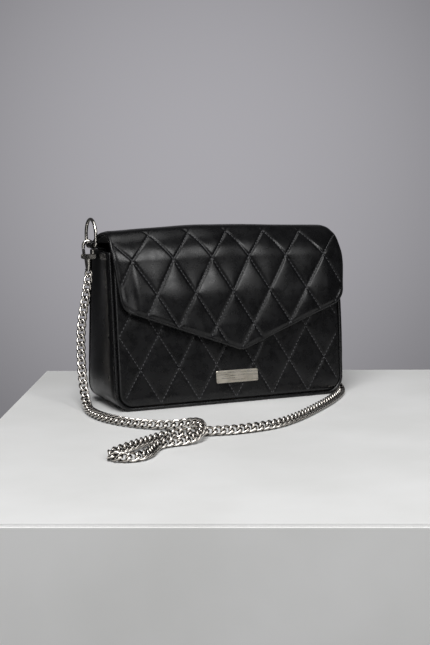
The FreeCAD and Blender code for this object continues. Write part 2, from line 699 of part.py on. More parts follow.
def swivel(label, frame):
    # Headed post that turns in the hook's base, with an eye for the chain's end link
    gap = size["swivel_gap"]
    collar_top = base_bottom - gap
    collar_low = collar_top - size["swivel_collar_height"]
    head_low = base_top - size["swivel_head_height"]
    eye = doc.addObject("Part::Torus", label + "_eye")
    eye.setExpression("Radius1", "Sizes.eye_radius")
    eye.setExpression("Radius2", "Sizes.eye_wire / 2")
    eye.Placement = frame.multiply(Placement(V(0, 0, eye_centre), EYE_TURN))
    keep(label, fuse(label, [
        disc(label + "_head", frame, (0, 0, head_low), "Sizes.swivel_head_radius",
             "Sizes.swivel_head_height"),
        disc(label + "_post", frame, (0, 0, collar_top - gap), "Sizes.swivel_post_radius",
             "Sizes.hook_base_height + Sizes.hook_barrel_height"),
        disc(label + "_collar", frame, (0, 0, collar_low), "Sizes.swivel_collar_radius",
             "Sizes.swivel_collar_height"),
        eye,
    ]))


# The eye stands square to the twisted end of the chain's last link
EYE_TURN = Rotation(V(0, 0, 1), size["link_twist"]).multiply(Rotation(V(0, 1, 0), 90))
UPSIDE_DOWN = Placement(V(), Rotation(V(0, 1, 0), 180))
left_hook_frame = left_frame.multiply(Placement(V(0, -size["hook_offset"], 0), Rotation()))
right_hook_frame = right_frame.multiply(Placement(V(0, 0, -size["ring_rise"]), Rotation()))
for side, frame, neck, ring_frame, hook_frame in (
        ("left", left_frame, standing_neck, left_frame, left_hook_frame),
        ("right", right_frame, hanging_neck, right_frame.multiply(UPSIDE_DOWN), right_hook_frame)):
    ring_tab(side + "_ring_tab", frame, neck)
    ring(side + "_ring", ring_frame)
    hook(side + "_hook", hook_frame)
    gate(side + "_hook_gate", hook_frame)
    gate_pin(side + "_gate_pin", hook_frame)
    swivel(side + "_swivel", hook_frame)


def tangent_arc(start, heading, end):
    # Arc from a start point and heading to an end point
    chord = end - start
    side = (chord - heading * chord.dot(heading)).normalize()
    radius = chord.dot(chord) / (2 * chord.dot(side))
    centre = start + side * radius
    middle = centre + ((start - centre) + (end - centre)).normalize() * radius
    return Part.Arc(start, middle, end).toShape()


def two_arcs(start, heading, end, arrival):
    # Two tangent arcs that join two points with given headings
    span = end - start
    turn = 2 * (1 - heading.dot(arrival))
    along = span.dot(heading + arrival)
    reach = (-along + math.sqrt(along ** 2 + turn * span.dot(span))) / turn
    joint = (start + end + (heading - arrival) * reach) / 2
    return [tangent_arc(start, heading, joint), tangent_arc(end, arrival * -1, joint)]


def curb_link():
    # Oval of round wire, twisted so that a row of them lies flat
    half_run = link_run / 2
    half_width = (size["link_width"] - size["link_wire"]) / 2
    twist = math.radians(size["link_twist"])
    slope = half_width * twist / half_run
    stops = [
        (V(0, half_width, 0), V(1, 0, slope).normalize()),
        (V(half_run, 0, 0), V(0, -math.cos(twist), -math.sin(twist))),
        (V(0, -half_width, 0), V(-1, 0, slope).normalize()),
        (V(-half_run, 0, 0), V(0, math.cos(twist), -math.sin(twist))),
    ]
    edges = []
    for i, (point, heading) in enumerate(stops):
        following, arrival = stops[(i + 1) % len(stops)]
        edges += two_arcs(point, heading, following, arrival)
    pieces = []
    for edge in edges:
        section = Part.Wire(Part.makeCircle(link_half, edge.valueAt(edge.FirstParameter),
                                            edge.tangentAt(edge.FirstParameter)))
        circle_of_edge = edge.Curve
        sweep = math.degrees(edge.LastParameter - edge.FirstParameter)
        pieces.append(Part.Face(section).revolve(circle_of_edge.Center, circle_of_edge.Axis, sweep))
    link = pieces[0].multiFuse(pieces[1:])
    return link.Solids[0], sum(edge.Length for edge in edges)


def chain_path(points):
    # Straight runs joined by arcs as large as the runs allow
    corners = [(*points[0], 0)]
    for before, corner, after in zip(points, points[1:], points[2:]):
        shorter = min((corner - before).Length, (after - corner).Length)
        turn = (corner - before).getAngle(after - corner)
        corners.append((*corner, 0.45 * shorter / math.tan(turn / 2)))
    corners.append((*points[-1], 0))
    print("chain bend radii:", [round(corner[-1], 1) for corner in corners[1:-1]])
    return Part.Wire([curve.toShape() for curve in rounded(corners, closed=False)])


def link_place(start, end):
    # Middle of one link's share of the route, its length along it and its flat side to the facing
    heading = (end - start).normalize()
    facing = (CHAIN_FACING - heading * CHAIN_FACING.dot(heading)).normalize()
    return Placement((start + end) / 2, Rotation(heading, facing.cross(heading), facing, "XYZ"))


# Curb chain from eye to eye, one solid for each link
left_eye = left_hook_frame.multVec(V(0, 0, chain_start))
right_eye = right_hook_frame.multVec(V(0, 0, chain_start))
route = [left_eye] + [V(*point) for point in ROUTE_FROM_LEFT_EYE] + [right_eye]
path = chain_path(route)
link_count = round(path.Length / link_pitch)
seats = path.discretize(Number=link_count + 1)
link, wire_length = curb_link()
print("chain length", round(path.Length, 1), "links", link_count, "pitch", round(path.Length / link_count, 3))
print("link volume", round(link.Volume, 3), "wire section times length",
      round(math.pi * link_half ** 2 * wire_length, 3))
first = 0
for label, last_point in STRETCHES.items():
    last = link_count
    if last_point is not None:
        goal = V(*last_point)
        last = min(range(link_count), key=lambda index: seats[index].distanceToPoint(goal))
    links = []
    for index in range(first, last):
        copy = link.copy()
        copy.Placement = link_place(seats[index], seats[index + 1])
        links.append(copy)
    stretch = keep(label, doc.addObject("Part::Feature", label))
    stretch.Shape = Part.Compound(links)
    first = last

# Every object has to be sound before anything is written
doc.recompute()
for obj in doc.Objects:
    if {"Invalid", "Error"} & set(obj.State):
        raise RuntimeError(f"{obj.Name} failed: {obj.State}")
for label, obj in nodes.items():
    if obj.Shape.isNull() or not obj.Shape.isValid() or not obj.Shape.Solids:
        raise RuntimeError(f"{label} has no sound solid")
os.makedirs("parts", exist_ok=True)
for label, obj in nodes.items():
    obj.Shape.exportStep(f"parts/{label}.step")
    print(label, len(obj.Shape.Solids), "solids", round(obj.Shape.Volume, 1), "mm3")
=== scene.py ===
import bpy
import bmesh
import math
import numpy as np
from mathutils import Matrix, Vector


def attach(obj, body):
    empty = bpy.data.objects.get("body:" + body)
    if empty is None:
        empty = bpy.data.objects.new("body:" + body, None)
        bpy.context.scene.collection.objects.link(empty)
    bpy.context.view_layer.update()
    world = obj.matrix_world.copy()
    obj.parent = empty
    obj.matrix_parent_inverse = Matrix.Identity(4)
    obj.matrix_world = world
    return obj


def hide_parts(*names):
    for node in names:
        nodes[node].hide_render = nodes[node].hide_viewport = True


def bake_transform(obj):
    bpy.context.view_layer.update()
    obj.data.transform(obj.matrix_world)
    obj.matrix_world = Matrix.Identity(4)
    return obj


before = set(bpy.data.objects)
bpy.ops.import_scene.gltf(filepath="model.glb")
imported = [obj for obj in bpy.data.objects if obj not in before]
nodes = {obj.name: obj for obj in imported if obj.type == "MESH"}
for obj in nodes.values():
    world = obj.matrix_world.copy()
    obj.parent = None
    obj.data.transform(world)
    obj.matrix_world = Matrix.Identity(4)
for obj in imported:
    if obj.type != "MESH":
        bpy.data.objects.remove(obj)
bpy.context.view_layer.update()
scene = bpy.context.scene
scene.view_settings.view_transform = "Standard"
MM = 0.001

# Sizes of the bag in millimetres, as in the part's source
BAG_HALF = 115.0
BASE_DEPTH = 84.0
MOUTH_DEPTH = 55.0
SIDE_HEIGHT = 142.0
CORNER = 17.0
PANEL = 4.0
GUSSET = 2.4
PIPING = 1.8
PANEL_HALF = 111.3
CREST = 160.0
FLAP_MIDDLE, FLAP_HALF = 1.7, 110.5
FLAP_LEFT, FLAP_RIGHT = FLAP_MIDDLE - FLAP_HALF, FLAP_MIDDLE + FLAP_HALF
FLAP_POINT_X = 6.5
FLAP_GAP = 5.6
FLAP_TOTAL = 4.8
FRONT_BEND = 27.0
FOLD_Y, FOLD_Z = 28.5, 143.8
FLAP_CORNER_Z, FLAP_POINT_Z = 91.0, 49.0
FLAP_CORNER_R, FLAP_POINT_R = 15.0, 14.0
BAR_X, LEFT_BAR_Z, RIGHT_BAR_Z = 122.0, 147.5, 136.0
DIAMOND_WIDE, DIAMOND_TALL = 37.1, 61.4

LEAN = math.atan2((BASE_DEPTH - MOUTH_DEPTH) / 2, SIDE_HEIGHT)
SIN, COS, TAN = math.sin(LEAN), math.cos(LEAN), math.tan(LEAN)
SLOPE = SIDE_HEIGHT / COS

# Camera at the photograph's viewing angle, in degrees, millimetres of lens and metres
YAW, PITCH, ROLL = 23.36, -7.2, -0.47
LENS, CAMERA_PLACE = 69.77, (-0.4667, -1.0781, 0.2185)
camera = bpy.data.objects.new("camera", bpy.data.cameras.new("camera"))
scene.collection.objects.link(camera)
camera.data.lens = LENS
camera.data.clip_start = 0.01
yaw, pitch, roll = math.radians(YAW), math.radians(PITCH), math.radians(ROLL)
ahead = Vector((math.sin(yaw) * math.cos(pitch), math.cos(yaw) * math.cos(pitch), math.sin(pitch)))
level = Vector((math.cos(yaw), -math.sin(yaw), 0.0))
upright = level.cross(ahead)
right = level * math.cos(roll) + upright * math.sin(roll)
top = upright * math.cos(roll) - level * math.sin(roll)
turn = Matrix((right, top, -ahead)).transposed().to_4x4()
camera.matrix_world = Matrix.Translation(CAMERA_PLACE) @ turn
scene.camera = camera


# Mesh helpers, all in millimetres
def add_mesh(name, points, faces, material):
    mesh = bpy.data.meshes.new(name)
    places = (np.asarray(points).reshape(-1, 3) * MM).tolist()
    mesh.from_pydata(places, [], [list(face) for face in faces])
    work = bmesh.new()
    work.from_mesh(mesh)
    bmesh.ops.recalc_face_normals(work, faces=work.faces)
    work.to_mesh(mesh)
    work.free()
    mesh.shade_smooth()
    mesh.materials.append(material)
    piece = bpy.data.objects.new(name, mesh)
    scene.collection.objects.link(piece)
    return piece


def grid_faces(rows, cols, first=0, wrap=False):
    index = np.arange(rows * cols).reshape(rows, cols) + first
    if wrap:
        index = np.hstack([index, index[:, :1]])
    corners = (index[:-1, :-1], index[:-1, 1:], index[1:, 1:], index[1:, :-1])
    return np.stack(corners, axis=-1).reshape(-1, 4).tolist()


def tube_faces(count, sides):
    # Faces of a tube of rings, closed at both ends
    ends = [list(range(sides)), [(count - 1) * sides + i for i in range(sides)]]
    return grid_faces(count, sides, wrap=True) + ends


def unit(vectors):
    return vectors / np.linalg.norm(vectors, axis=-1, keepdims=True)


def shell(name, outer, inner, material):
    # Closed shell from an outer and an inner grid of the same shape
    rows, cols = outer.shape[:2]
    count = rows * cols
    index = np.arange(count).reshape(rows, cols)
    loop = np.concatenate([index[0, :-1], index[:-1, -1], index[-1, :0:-1], index[:0:-1, 0]])
    following = np.roll(loop, -1)
    rim = np.stack([loop, following, following + count, loop + count], axis=-1).tolist()
    inside = [face[::-1] for face in grid_faces(rows, cols, count)]
    points = np.concatenate([outer.reshape(-1, 3), inner.reshape(-1, 3)])
    return add_mesh(name, points, grid_faces(rows, cols) + inside + rim, material)


def tube(name, path, radii, material, sides=14, normal=(0.0, 1.0, 0.0)):
    # Round tube along a path, closed at both ends
    heading = unit(np.gradient(path, axis=0))
    first = unit(np.cross(heading, np.asarray(normal)))
    second = np.cross(first, heading)
    turn = np.linspace(0, 2 * math.pi, sides, endpoint=False)
    ring = first[:, None] * np.cos(turn)[None, :, None] + second[:, None] * np.sin(turn)[None, :, None]
    points = path[:, None] + ring * np.asarray(radii).reshape(-1, 1, 1)
    return add_mesh(name, points, tube_faces(len(path), sides), material)


def smoothstep(low, high, value):
    t = np.clip((value - low) / (high - low), 0, 1)
    return t * t * (3 - 2 * t)


def round_edge(d, radius):
    # Quarter-round rise from 0 on an edge to 1 at the radius
    return np.sqrt(np.clip(1 - (1 - np.clip(d / radius, 0, 1)) ** 2, 0, 1))


def squared(value, power):
    # Sine or cosine pushed out towards a rectangle
    return np.sign(value) * np.abs(value) ** power


def waves(seed, count, longest, u, v):
    # Smooth seeded unevenness, about -1 to 1
    source = np.random.default_rng(seed)
    total = np.zeros_like(u, dtype=float)
    for _ in range(count):
        angle = source.uniform(0, math.pi)
        length = longest * source.uniform(0.45, 1.0)
        phase = source.uniform(0, 2 * math.pi)
        along = u * math.cos(angle) + v * math.sin(angle)
        total = total + np.sin(along * 2 * math.pi / length + phase)
    return total / math.sqrt(count)


def edge_distance(points, outline):
    # Distance of flat points from a closed outline
    ends = np.roll(outline, -1, axis=0)
    best = np.full(len(points), np.inf)
    for start, end in zip(outline, ends):
        run = end - start
        share = np.clip(((points - start) @ run) / max(run @ run, 1e-12), 0, 1)
        best = np.minimum(best, np.linalg.norm(points - start - share[:, None] * run, axis=1))
    return best


def arc_points(centre, radius, start, end, count):
    angles = np.radians(np.linspace(start, end, count))
    return np.stack([centre[0] + radius * np.cos(angles), centre[1] + radius * np.sin(angles)], axis=-1)


def u_path(half, low, high, radius, arc_count, side_count, base_count):
    # Down the left side, along the bottom and up the right side
    left_arc = arc_points((-half + radius, low + radius), radius, 180, 270, arc_count)
    right_arc = arc_points((half - radius, low + radius), radius, 270, 360, arc_count)
    side = np.linspace(high, low + radius, side_count)[:-1]
    base = np.linspace(-half + radius, half - radius, base_count)[1:-1]
    return np.concatenate([np.stack([np.full_like(side, -half), side], axis=-1), left_arc,
                           np.stack([base, np.full_like(base, low)], axis=-1), right_arc,
                           np.stack([np.full_like(side, half), side[::-1]], axis=-1)])


# Materials
def new_material(name):
    material = bpy.data.materials.new(name)
    material.use_nodes = True
    tree = material.node_tree
    shader = tree.nodes["Principled BSDF"]
    coords = tree.nodes.new("ShaderNodeTexCoord")
    return material, tree, shader, coords.outputs["Object"]


def texture(tree, kind, coords, scale, **values):
    node = tree.nodes.new(kind)
    tree.links.new(coords, node.inputs["Vector"])
    node.inputs["Scale"].default_value = scale
    for socket, value in values.items():
        node.inputs[socket].default_value = value
    return node


def mapped(tree, source, low, high, from_low=0.3, from_high=0.7):
    node = tree.nodes.new("ShaderNodeMapRange")
    tree.links.new(source, node.inputs["Value"])
    node.inputs["From Min"].default_value = from_low
    node.inputs["From Max"].default_value = from_high
    node.inputs["To Min"].default_value = low
    node.inputs["To Max"].default_value = high
    return node.outputs["Result"]


def two_tone(tree, source, dark, pale, low=0.35, high=0.65):
    ramp = tree.nodes.new("ShaderNodeValToRGB")
    tree.links.new(source, ramp.inputs["Fac"])
    ramp.color_ramp.elements[0].position = low
    ramp.color_ramp.elements[0].color = (*dark, 1)
    ramp.color_ramp.elements[1].position = high
    ramp.color_ramp.elements[1].color = (*pale, 1)
    return ramp.outputs["Color"]


def paint(tree, shader, source, dark, pale):
    tree.links.new(two_tone(tree, source.outputs["Fac"], dark, pale), shader.inputs["Base Color"])


def roughen(tree, shader, source, low, high, *span):
    tree.links.new(mapped(tree, source.outputs["Fac"], low, high, *span), shader.inputs["Roughness"])


def bumped(tree, shader, height, strength, distance, before=None):
    node = tree.nodes.new("ShaderNodeBump")
    node.inputs["Strength"].default_value = strength
    node.inputs["Distance"].default_value = distance
    tree.links.new(height, node.inputs["Height"])
    if before is not None:
        tree.links.new(before.outputs["Normal"], node.inputs["Normal"])
    tree.links.new(node.outputs["Normal"], shader.inputs["Normal"])
    return node


def leather(name, dark, pale, low_rough, high_rough, grain=0.12):
    # Black hide: fine pebbled grain, soft creases, uneven gloss
    material, tree, shader, coords = new_material(name)
    cloud = texture(tree, "ShaderNodeTexNoise", coords, 55.0, Detail=4.0, Roughness=0.6)
    pores = texture(tree, "ShaderNodeTexVoronoi", coords, 1250.0, Randomness=1.0)
    crease = texture(tree, "ShaderNodeTexNoise", coords, 420.0, Detail=5.0, Roughness=0.65)
    paint(tree, shader, cloud, dark, pale)
    rough = texture(tree, "ShaderNodeTexNoise", coords, 140.0, Detail=3.0)
    roughen(tree, shader, rough, low_rough, high_rough)
    shader.inputs["Specular IOR Level"].default_value = 0.36
    fine = bumped(tree, shader, pores.outputs["Distance"], grain, 0.00012)
    bumped(tree, shader, crease.outputs["Fac"], grain, 0.00022, fine)
    return material


def metal(name, dark, pale, low_rough, high_rough, bump=0.05):
    # Polished metal with faint handling marks
    material, tree, shader, coords = new_material(name)
    shader.inputs["Metallic"].default_value = 1.0
    cloud = texture(tree, "ShaderNodeTexNoise", coords, 160.0, Detail=4.0)
    marks = texture(tree, "ShaderNodeTexNoise", coords, 700.0, Detail=6.0, Roughness=0.7)
    paint(tree, shader, cloud, dark, pale)
    roughen(tree, shader, marks, low_rough, high_rough)
    bumped(tree, shader, marks.outputs["Fac"], bump, 0.0001)
    return material


def paint_crevice_shade(material, reach, floor):
    # Painted shade: darkens the metal's colour where neighbouring wires close in, from an ambient occlusion
    # mask
    tree = material.node_tree
    shader = tree.nodes["Principled BSDF"]
    colour = shader.inputs["Base Color"].links[0].from_socket
    open_sky = tree.nodes.new("ShaderNodeAmbientOcclusion")
    open_sky.samples = 8
    open_sky.inputs["Distance"].default_value = reach
    blend = tree.nodes.new("ShaderNodeMix")
    blend.data_type = "RGBA"
    blend.blend_type = "MULTIPLY"
    blend.inputs["Factor"].default_value = 1.0
    tree.links.new(colour, blend.inputs["A"])
    shade = two_tone(tree, open_sky.outputs["AO"], floor, (1.0, 1.0, 1.0), 0.25, 0.8)
    tree.links.new(shade, blend.inputs["B"])
    tree.links.new(blend.outputs["Result"], shader.inputs["Base Color"])


def brushed(name):
    # Bare plate with a fine brushed grain along its length
    material, tree, shader, coords = new_material(name)
    shader.inputs["Metallic"].default_value = 1.0
    stretch = tree.nodes.new("ShaderNodeMapping")
    stretch.inputs["Scale"].default_value = (40.0, 1500.0, 1500.0)
    tree.links.new(coords, stretch.inputs["Vector"])
    lines = texture(tree, "ShaderNodeTexNoise", stretch.outputs["Vector"], 1.0, Detail=4.0)
    cloud = texture(tree, "ShaderNodeTexNoise", coords, 120.0, Detail=3.0)
    paint(tree, shader, cloud, (0.62, 0.57, 0.48), (0.80, 0.745, 0.655))
    roughen(tree, shader, lines, 0.22, 0.42)
    bumped(tree, shader, lines.outputs["Fac"], 0.12, 0.00008)
    return material


def thread(name):
    # Waxed sewing thread with a twisted ply
    material, tree, shader, coords = new_material(name)
    ply = texture(tree, "ShaderNodeTexNoise", coords, 2600.0, Detail=3.0)
    paint(tree, shader, ply, (0.036, 0.036, 0.039), (0.080, 0.080, 0.085))
    shader.inputs["Roughness"].default_value = 0.5
    bumped(tree, shader, ply.outputs["Fac"], 0.4, 0.0001)
    return material


def twill(name):
    # Woven lining cloth, diagonal ribs over a cloudy dye
    material, tree, shader, coords = new_material(name)
    ribs = texture(tree, "ShaderNodeTexWave", coords, 420.0, Distortion=0.6)
    ribs.bands_direction = "DIAGONAL"
    cloud = texture(tree, "ShaderNodeTexNoise", coords, 70.0, Detail=4.0)
    paint(tree, shader, cloud, (0.016, 0.016, 0.018), (0.030, 0.030, 0.034))
    roughen(tree, shader, ribs, 0.75, 0.95, 0.0, 1.0)
    shader.inputs["Sheen Weight"].default_value = 0.25
    bumped(tree, shader, ribs.outputs["Fac"], 0.4, 0.0003)
    return material


def pressed_board(name):
    # Grey-brown fibre board
    material, tree, shader, coords = new_material(name)
    fibre = texture(tree, "ShaderNodeTexNoise", coords, 300.0, Detail=6.0, Roughness=0.7)
    paint(tree, shader, fibre, (0.16, 0.13, 0.10), (0.30, 0.26, 0.21))
    roughen(tree, shader, fibre, 0.7, 0.95)
    bumped(tree, shader, fibre.outputs["Fac"], 0.3, 0.0003)
    return material


QUILTED = leather("quilted_leather", (0.0024, 0.0024, 0.0027), (0.0050, 0.0050, 0.0055), 0.23, 0.33)
SMOOTH = leather("smooth_leather", (0.0022, 0.0022, 0.0025), (0.0046, 0.0046, 0.0050), 0.27, 0.37)
PIPED = leather("piping_leather", (0.0024, 0.0024, 0.0027), (0.0050, 0.0050, 0.0055), 0.22, 0.32)
LINED = twill("lining_cloth")
THREAD = thread("sewing_thread")
NICKEL = metal("polished_nickel", (0.56, 0.53, 0.485), (0.72, 0.69, 0.64), 0.10, 0.22)
CHAIN_METAL = metal("chain_nickel", (0.60, 0.565, 0.52), (0.78, 0.74, 0.69), 0.14, 0.26)
# Painted shade in the chain's colour between the links
paint_crevice_shade(CHAIN_METAL, 0.005, (0.05, 0.045, 0.04))
SNAP_METAL = metal("snap_metal", (0.42, 0.41, 0.40), (0.58, 0.57, 0.55), 0.18, 0.32)
PLATE = brushed("bare_plate")
BOARD = pressed_board("base_board")


# Chain: one smooth route from eye to eye. Its control points follow the part's source, moved where the
# photograph shows the chain drawn closer
ROUTE = [
    (-122.0, 9.0, 119.2), (-125.6, 9.0, 98.0), (-130.0, 9.2, 76.0), (-131.6, 8.0, 52.0), (-131.6, 4.0, 27.0),
    (-133.5, -9.0, 8.0), (-137.5, -32.0, 2.9), (-139.0, -58.0, 2.9), (-133.0, -86.0, 3.2),
    (-118.5, -111.5, 3.6), (-102.0, -125.5, 3.9), (-89.0, -136.5, 6.4), (-82.8, -150.5, 10.2),
    (-84.4, -166.0, 10.2), (-92.5, -179.5, 6.2), (-105.5, -186.9, 4.0), (-118.8, -185.6, 3.8),
    (-130.5, -189.0, 3.8), (-138.0, -197.0, 3.6), (-143.5, -206.5, 3.4), (-149.5, -215.5, 3.6),
    (-158.5, -221.5, 3.7), (-168.5, -221.5, 3.7), (-176.0, -216.0, 3.6), (-177.5, -207.5, 3.3),
    (-173.0, -200.5, 3.6), (-164.0, -195.5, 4.4), (-154.0, -189.5, 5.0), (-143.0, -181.5, 4.6),
    (-130.5, -171.0, 3.9), (-114.0, -160.5, 3.7), (-98.7, -157.8, 3.7), (-84.1, -160.6, 3.7),
    (-69.6, -164.9, 3.7), (-53.4, -166.5, 3.7), (-36.0, -164.9, 3.8), (-14.8, -160.2, 3.8),
    (13.0, -142.5, 3.7), (43.0, -116.5, 3.7), (71.0, -90.5, 3.7), (90.5, -70.0, 3.7),
    (104.0, -53.5, 3.6), (114.5, -38.0, 3.4), (120.0, -14.0, 6.0), (123.2, -1.5, 26.0),
    (123.8, 1.0, 48.0), (122.8, 0.6, 67.5), (122.0, 0.0, 84.5),
]
ROLL_FRONT, ROLL_UP = np.array([-0.39, -0.90, 0.20]), np.array([0.0, 0.0, 0.45])
LINK_WIRE, LINK_RUN, LINK_WIDTH, LINK_TWIST = 2.3, 10.3, 8.8, -50.0
LINK_PITCH, LINK_STEPS = 6.98, 4


def route_line():
    # Points of the route's smooth spline, a few equal steps to each link
    curve = bpy.data.curves.new("chain_route", "CURVE")
    curve.dimensions = "3D"
    curve.resolution_u = 32
    spline = curve.splines.new("NURBS")
    spline.points.add(len(ROUTE) - 1)
    for point, place in zip(spline.points, ROUTE):
        point.co = (*[c * MM for c in place], 1.0)
    spline.order_u = 3
    spline.use_endpoint_u = True
    holder = bpy.data.objects.new("chain_route", curve)
    scene.collection.objects.link(holder)
    mesh = bpy.data.meshes.new_from_object(holder)
    line = np.array([vertex.co[:] for vertex in mesh.vertices]) / MM
    bpy.data.objects.remove(holder)
    bpy.data.curves.remove(curve)
    bpy.data.meshes.remove(mesh)
    steps = np.concatenate([[0.0], np.cumsum(np.linalg.norm(np.diff(line, axis=0), axis=1))])
    count = round(steps[-1] / LINK_PITCH)
    wanted = np.linspace(0.0, steps[-1], count * LINK_STEPS + 1)
    return np.stack([np.interp(wanted, steps, line[:, axis]) for axis in range(3)], axis=-1)


def curb_link(around=26, sides=10):
    # One oval of round wire, twisted so that a row of them lies flat
    turn = np.linspace(0, 2 * math.pi, around, endpoint=False)

    def wire(t):
        x = LINK_RUN / 2 * np.cos(t)
        across = (LINK_WIDTH - LINK_WIRE) / 2 * np.sin(t)
        twist = math.radians(LINK_TWIST) * x / (LINK_RUN / 2)
        return np.stack([x, across * np.cos(twist), across * np.sin(twist)], axis=-1)

    centre = wire(turn)
    heading = unit(wire(turn + 0.01) - wire(turn - 0.01))
    first = unit(centre - heading * (centre * heading).sum(axis=1, keepdims=True))
    second = np.cross(heading, first)
    side = np.linspace(0, 2 * math.pi, sides, endpoint=False)
    ring = first[:, None] * np.cos(side)[None, :, None] + second[:, None] * np.sin(side)[None, :, None]
    points = (centre[:, None] + ring * LINK_WIRE / 2).reshape(-1, 3)
    return points, np.array(grid_faces(around + 1, sides, wrap=True)) % (around * sides)


line = route_line()
link_count = (len(line) - 1) // LINK_STEPS
link_points, link_faces = curb_link()


def flat_side(heading):
    # The links lie rolled over, with their flat side up and to the front
    front = ROLL_FRONT - heading * (ROLL_FRONT @ heading)
    above = ROLL_UP - heading * (ROLL_UP @ heading)
    return unit(unit(front) + above)


TABLE_GAP = 0.05


def chain_piece(name, first, last):
    # Links first to last as one mesh, and their centreline
    points = []
    faces = []
    for index in range(first, last):
        start, end = line[LINK_STEPS * index], line[LINK_STEPS * (index + 1)]
        heading = unit(end - start)
        facing = flat_side(heading)
        axes = np.stack([heading, np.cross(facing, heading), facing])
        placed = link_points @ axes + (start + end) / 2
        placed[:, 2] += max(0.0, TABLE_GAP - placed[:, 2].min())
        faces.extend((link_faces + len(points) * len(link_points)).tolist())
        points.append(placed)
    piece = add_mesh(name, np.concatenate(points), faces, CHAIN_METAL)
    return piece, line[LINK_STEPS * first:LINK_STEPS * last + 1]


DROP_LINKS, RISER_LINKS, TOP_LINKS = 16, 14, 3
chain_left, left_path = chain_piece("chain_left", 0, DROP_LINKS)
chain_middle, middle_path = chain_piece("chain_middle", DROP_LINKS, link_count - RISER_LINKS)
chain_right, right_path = chain_piece("chain_right", link_count - RISER_LINKS, link_count - TOP_LINKS)
chain_end, end_path = chain_piece("chain_end", link_count - TOP_LINKS, link_count)
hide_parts("chain_left_drop")
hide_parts("chain_front_run", "chain_hank", "chain_right_run")
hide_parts("chain_right_riser")
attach(chain_middle, "bag")
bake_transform(chain_left)
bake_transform(chain_right)
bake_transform(chain_end)


# Surfaces of the bag's leaning faces and of the flap
RIGHT_BOW, BOW_HEIGHT, MIDDLE_FLAT = 1.8, 75.0, 0.9


def side_bow(x, v):
    # The right side stands out a little above the base
    return RIGHT_BOW * np.clip(x / BAG_HALF, 0, 1) ** 3 * smoothstep(0, BOW_HEIGHT, v)


def front_point(x, v, w):
    # x along the bag, v up the leaning face, w out of it
    y = -BASE_DEPTH / 2 + v * SIN - w * COS
    return np.stack([x + side_bow(x, v), y, v * COS + w * SIN], axis=-1)


def back_point(x, v, w):
    # The same on the back, seen from behind
    y = BASE_DEPTH / 2 - v * SIN + w * COS
    return np.stack([-x + side_bow(-x, v), y, v * COS + w * SIN], axis=-1)


FRONT_OFFSET = FLAP_GAP + FLAP_TOTAL / 2
CREST_MID = CREST - FLAP_TOTAL / 2
CREST_Y = -BASE_DEPTH / 2 + (SIN * (CREST_MID - FRONT_BEND) - FRONT_OFFSET + FRONT_BEND) / COS
FOLD_DROP = CREST_MID - FOLD_Z
BACK_BEND = ((FOLD_Y - CREST_Y) ** 2 + FOLD_DROP ** 2) / (2 * FOLD_DROP)
S_BEND = (CREST_Y + BASE_DEPTH / 2) * SIN + (CREST_MID - FRONT_BEND) * COS
S_CREST = S_BEND + FRONT_BEND * (math.pi / 2 - LEAN)
S_FOLD = S_CREST + BACK_BEND * math.atan2(FOLD_Y - CREST_Y, BACK_BEND - FOLD_DROP)
CREST_BOW, BOW_X, BOW_LEFT, BOW_RIGHT = 3.7, -12.0, 104.0, 122.0
RISE_FROM = 118.0
MARGIN_ROLL, MARGIN_WIDTH = 4.4, 18.0
ROLL_FROM, ROLL_FULL, ROLL_FADE, ROLL_END = 55.0, 100.0, 125.0, 160.0
FRONT_TILT, TILT_FROM, TILT_TO, TILT_FADE = 0.025, 112.0, 134.0, 34.0
CURL, CURL_FROM, CURL_EASE = 0.0010, 80.0, 3.5
CLEAR = 4.4
END_DROP, END_WIDTH = 4.5, 11.0
LEFT_LOW, LEFT_HIGH, LEFT_FROM, LEFT_TO = 1.5, -5.0, 92.0, 143.0
RIGHT_LOW, RIGHT_HIGH, RIGHT_FROM, RIGHT_TO = 4.0, 3.0, 110.0, 150.0
RIGHT_MID, MID_S, MID_TALL = 2.0, 128.0, 18.0


def side_shift(x, s):
    # The flap's sides spread over the crest and draw in towards its corners
    across = (x - FLAP_MIDDLE) / FLAP_HALF
    left_side = LEFT_LOW + (LEFT_HIGH - LEFT_LOW) * np.clip((s - LEFT_FROM) / (LEFT_TO - LEFT_FROM), 0, 1)
    right_side = RIGHT_LOW + (RIGHT_HIGH - RIGHT_LOW) * smoothstep(RIGHT_FROM, RIGHT_TO, s)
    right_side = right_side + RIGHT_MID * np.exp(-((s - MID_S) / MID_TALL) ** 2)
    return np.clip(-across, 0, 1) ** 3 * left_side + np.clip(across, 0, 1) ** 3 * right_side


def margin_roll(x, s):
    # How far the flap's side margins curl in towards the bag
    near = smoothstep(0.0, MARGIN_WIDTH, FLAP_HALF - np.abs(x - FLAP_MIDDLE))
    span = smoothstep(ROLL_FROM, ROLL_FULL, s) * (1 - smoothstep(ROLL_FADE, ROLL_END, s))
    return MARGIN_ROLL * (1 - near) * span


def front_tilt(s):
    # The flap's front leans back more than the panel behind it, and more and more towards its bend
    low = s - CURL_EASE * np.logaddexp(0.0, (s - TILT_TO) / CURL_EASE)
    lean = FRONT_TILT * (TILT_FROM - low) - CURL * np.clip(low - CURL_FROM, 0, None) ** 2
    return lean * (1 - smoothstep(TILT_TO, TILT_TO + TILT_FADE, s))


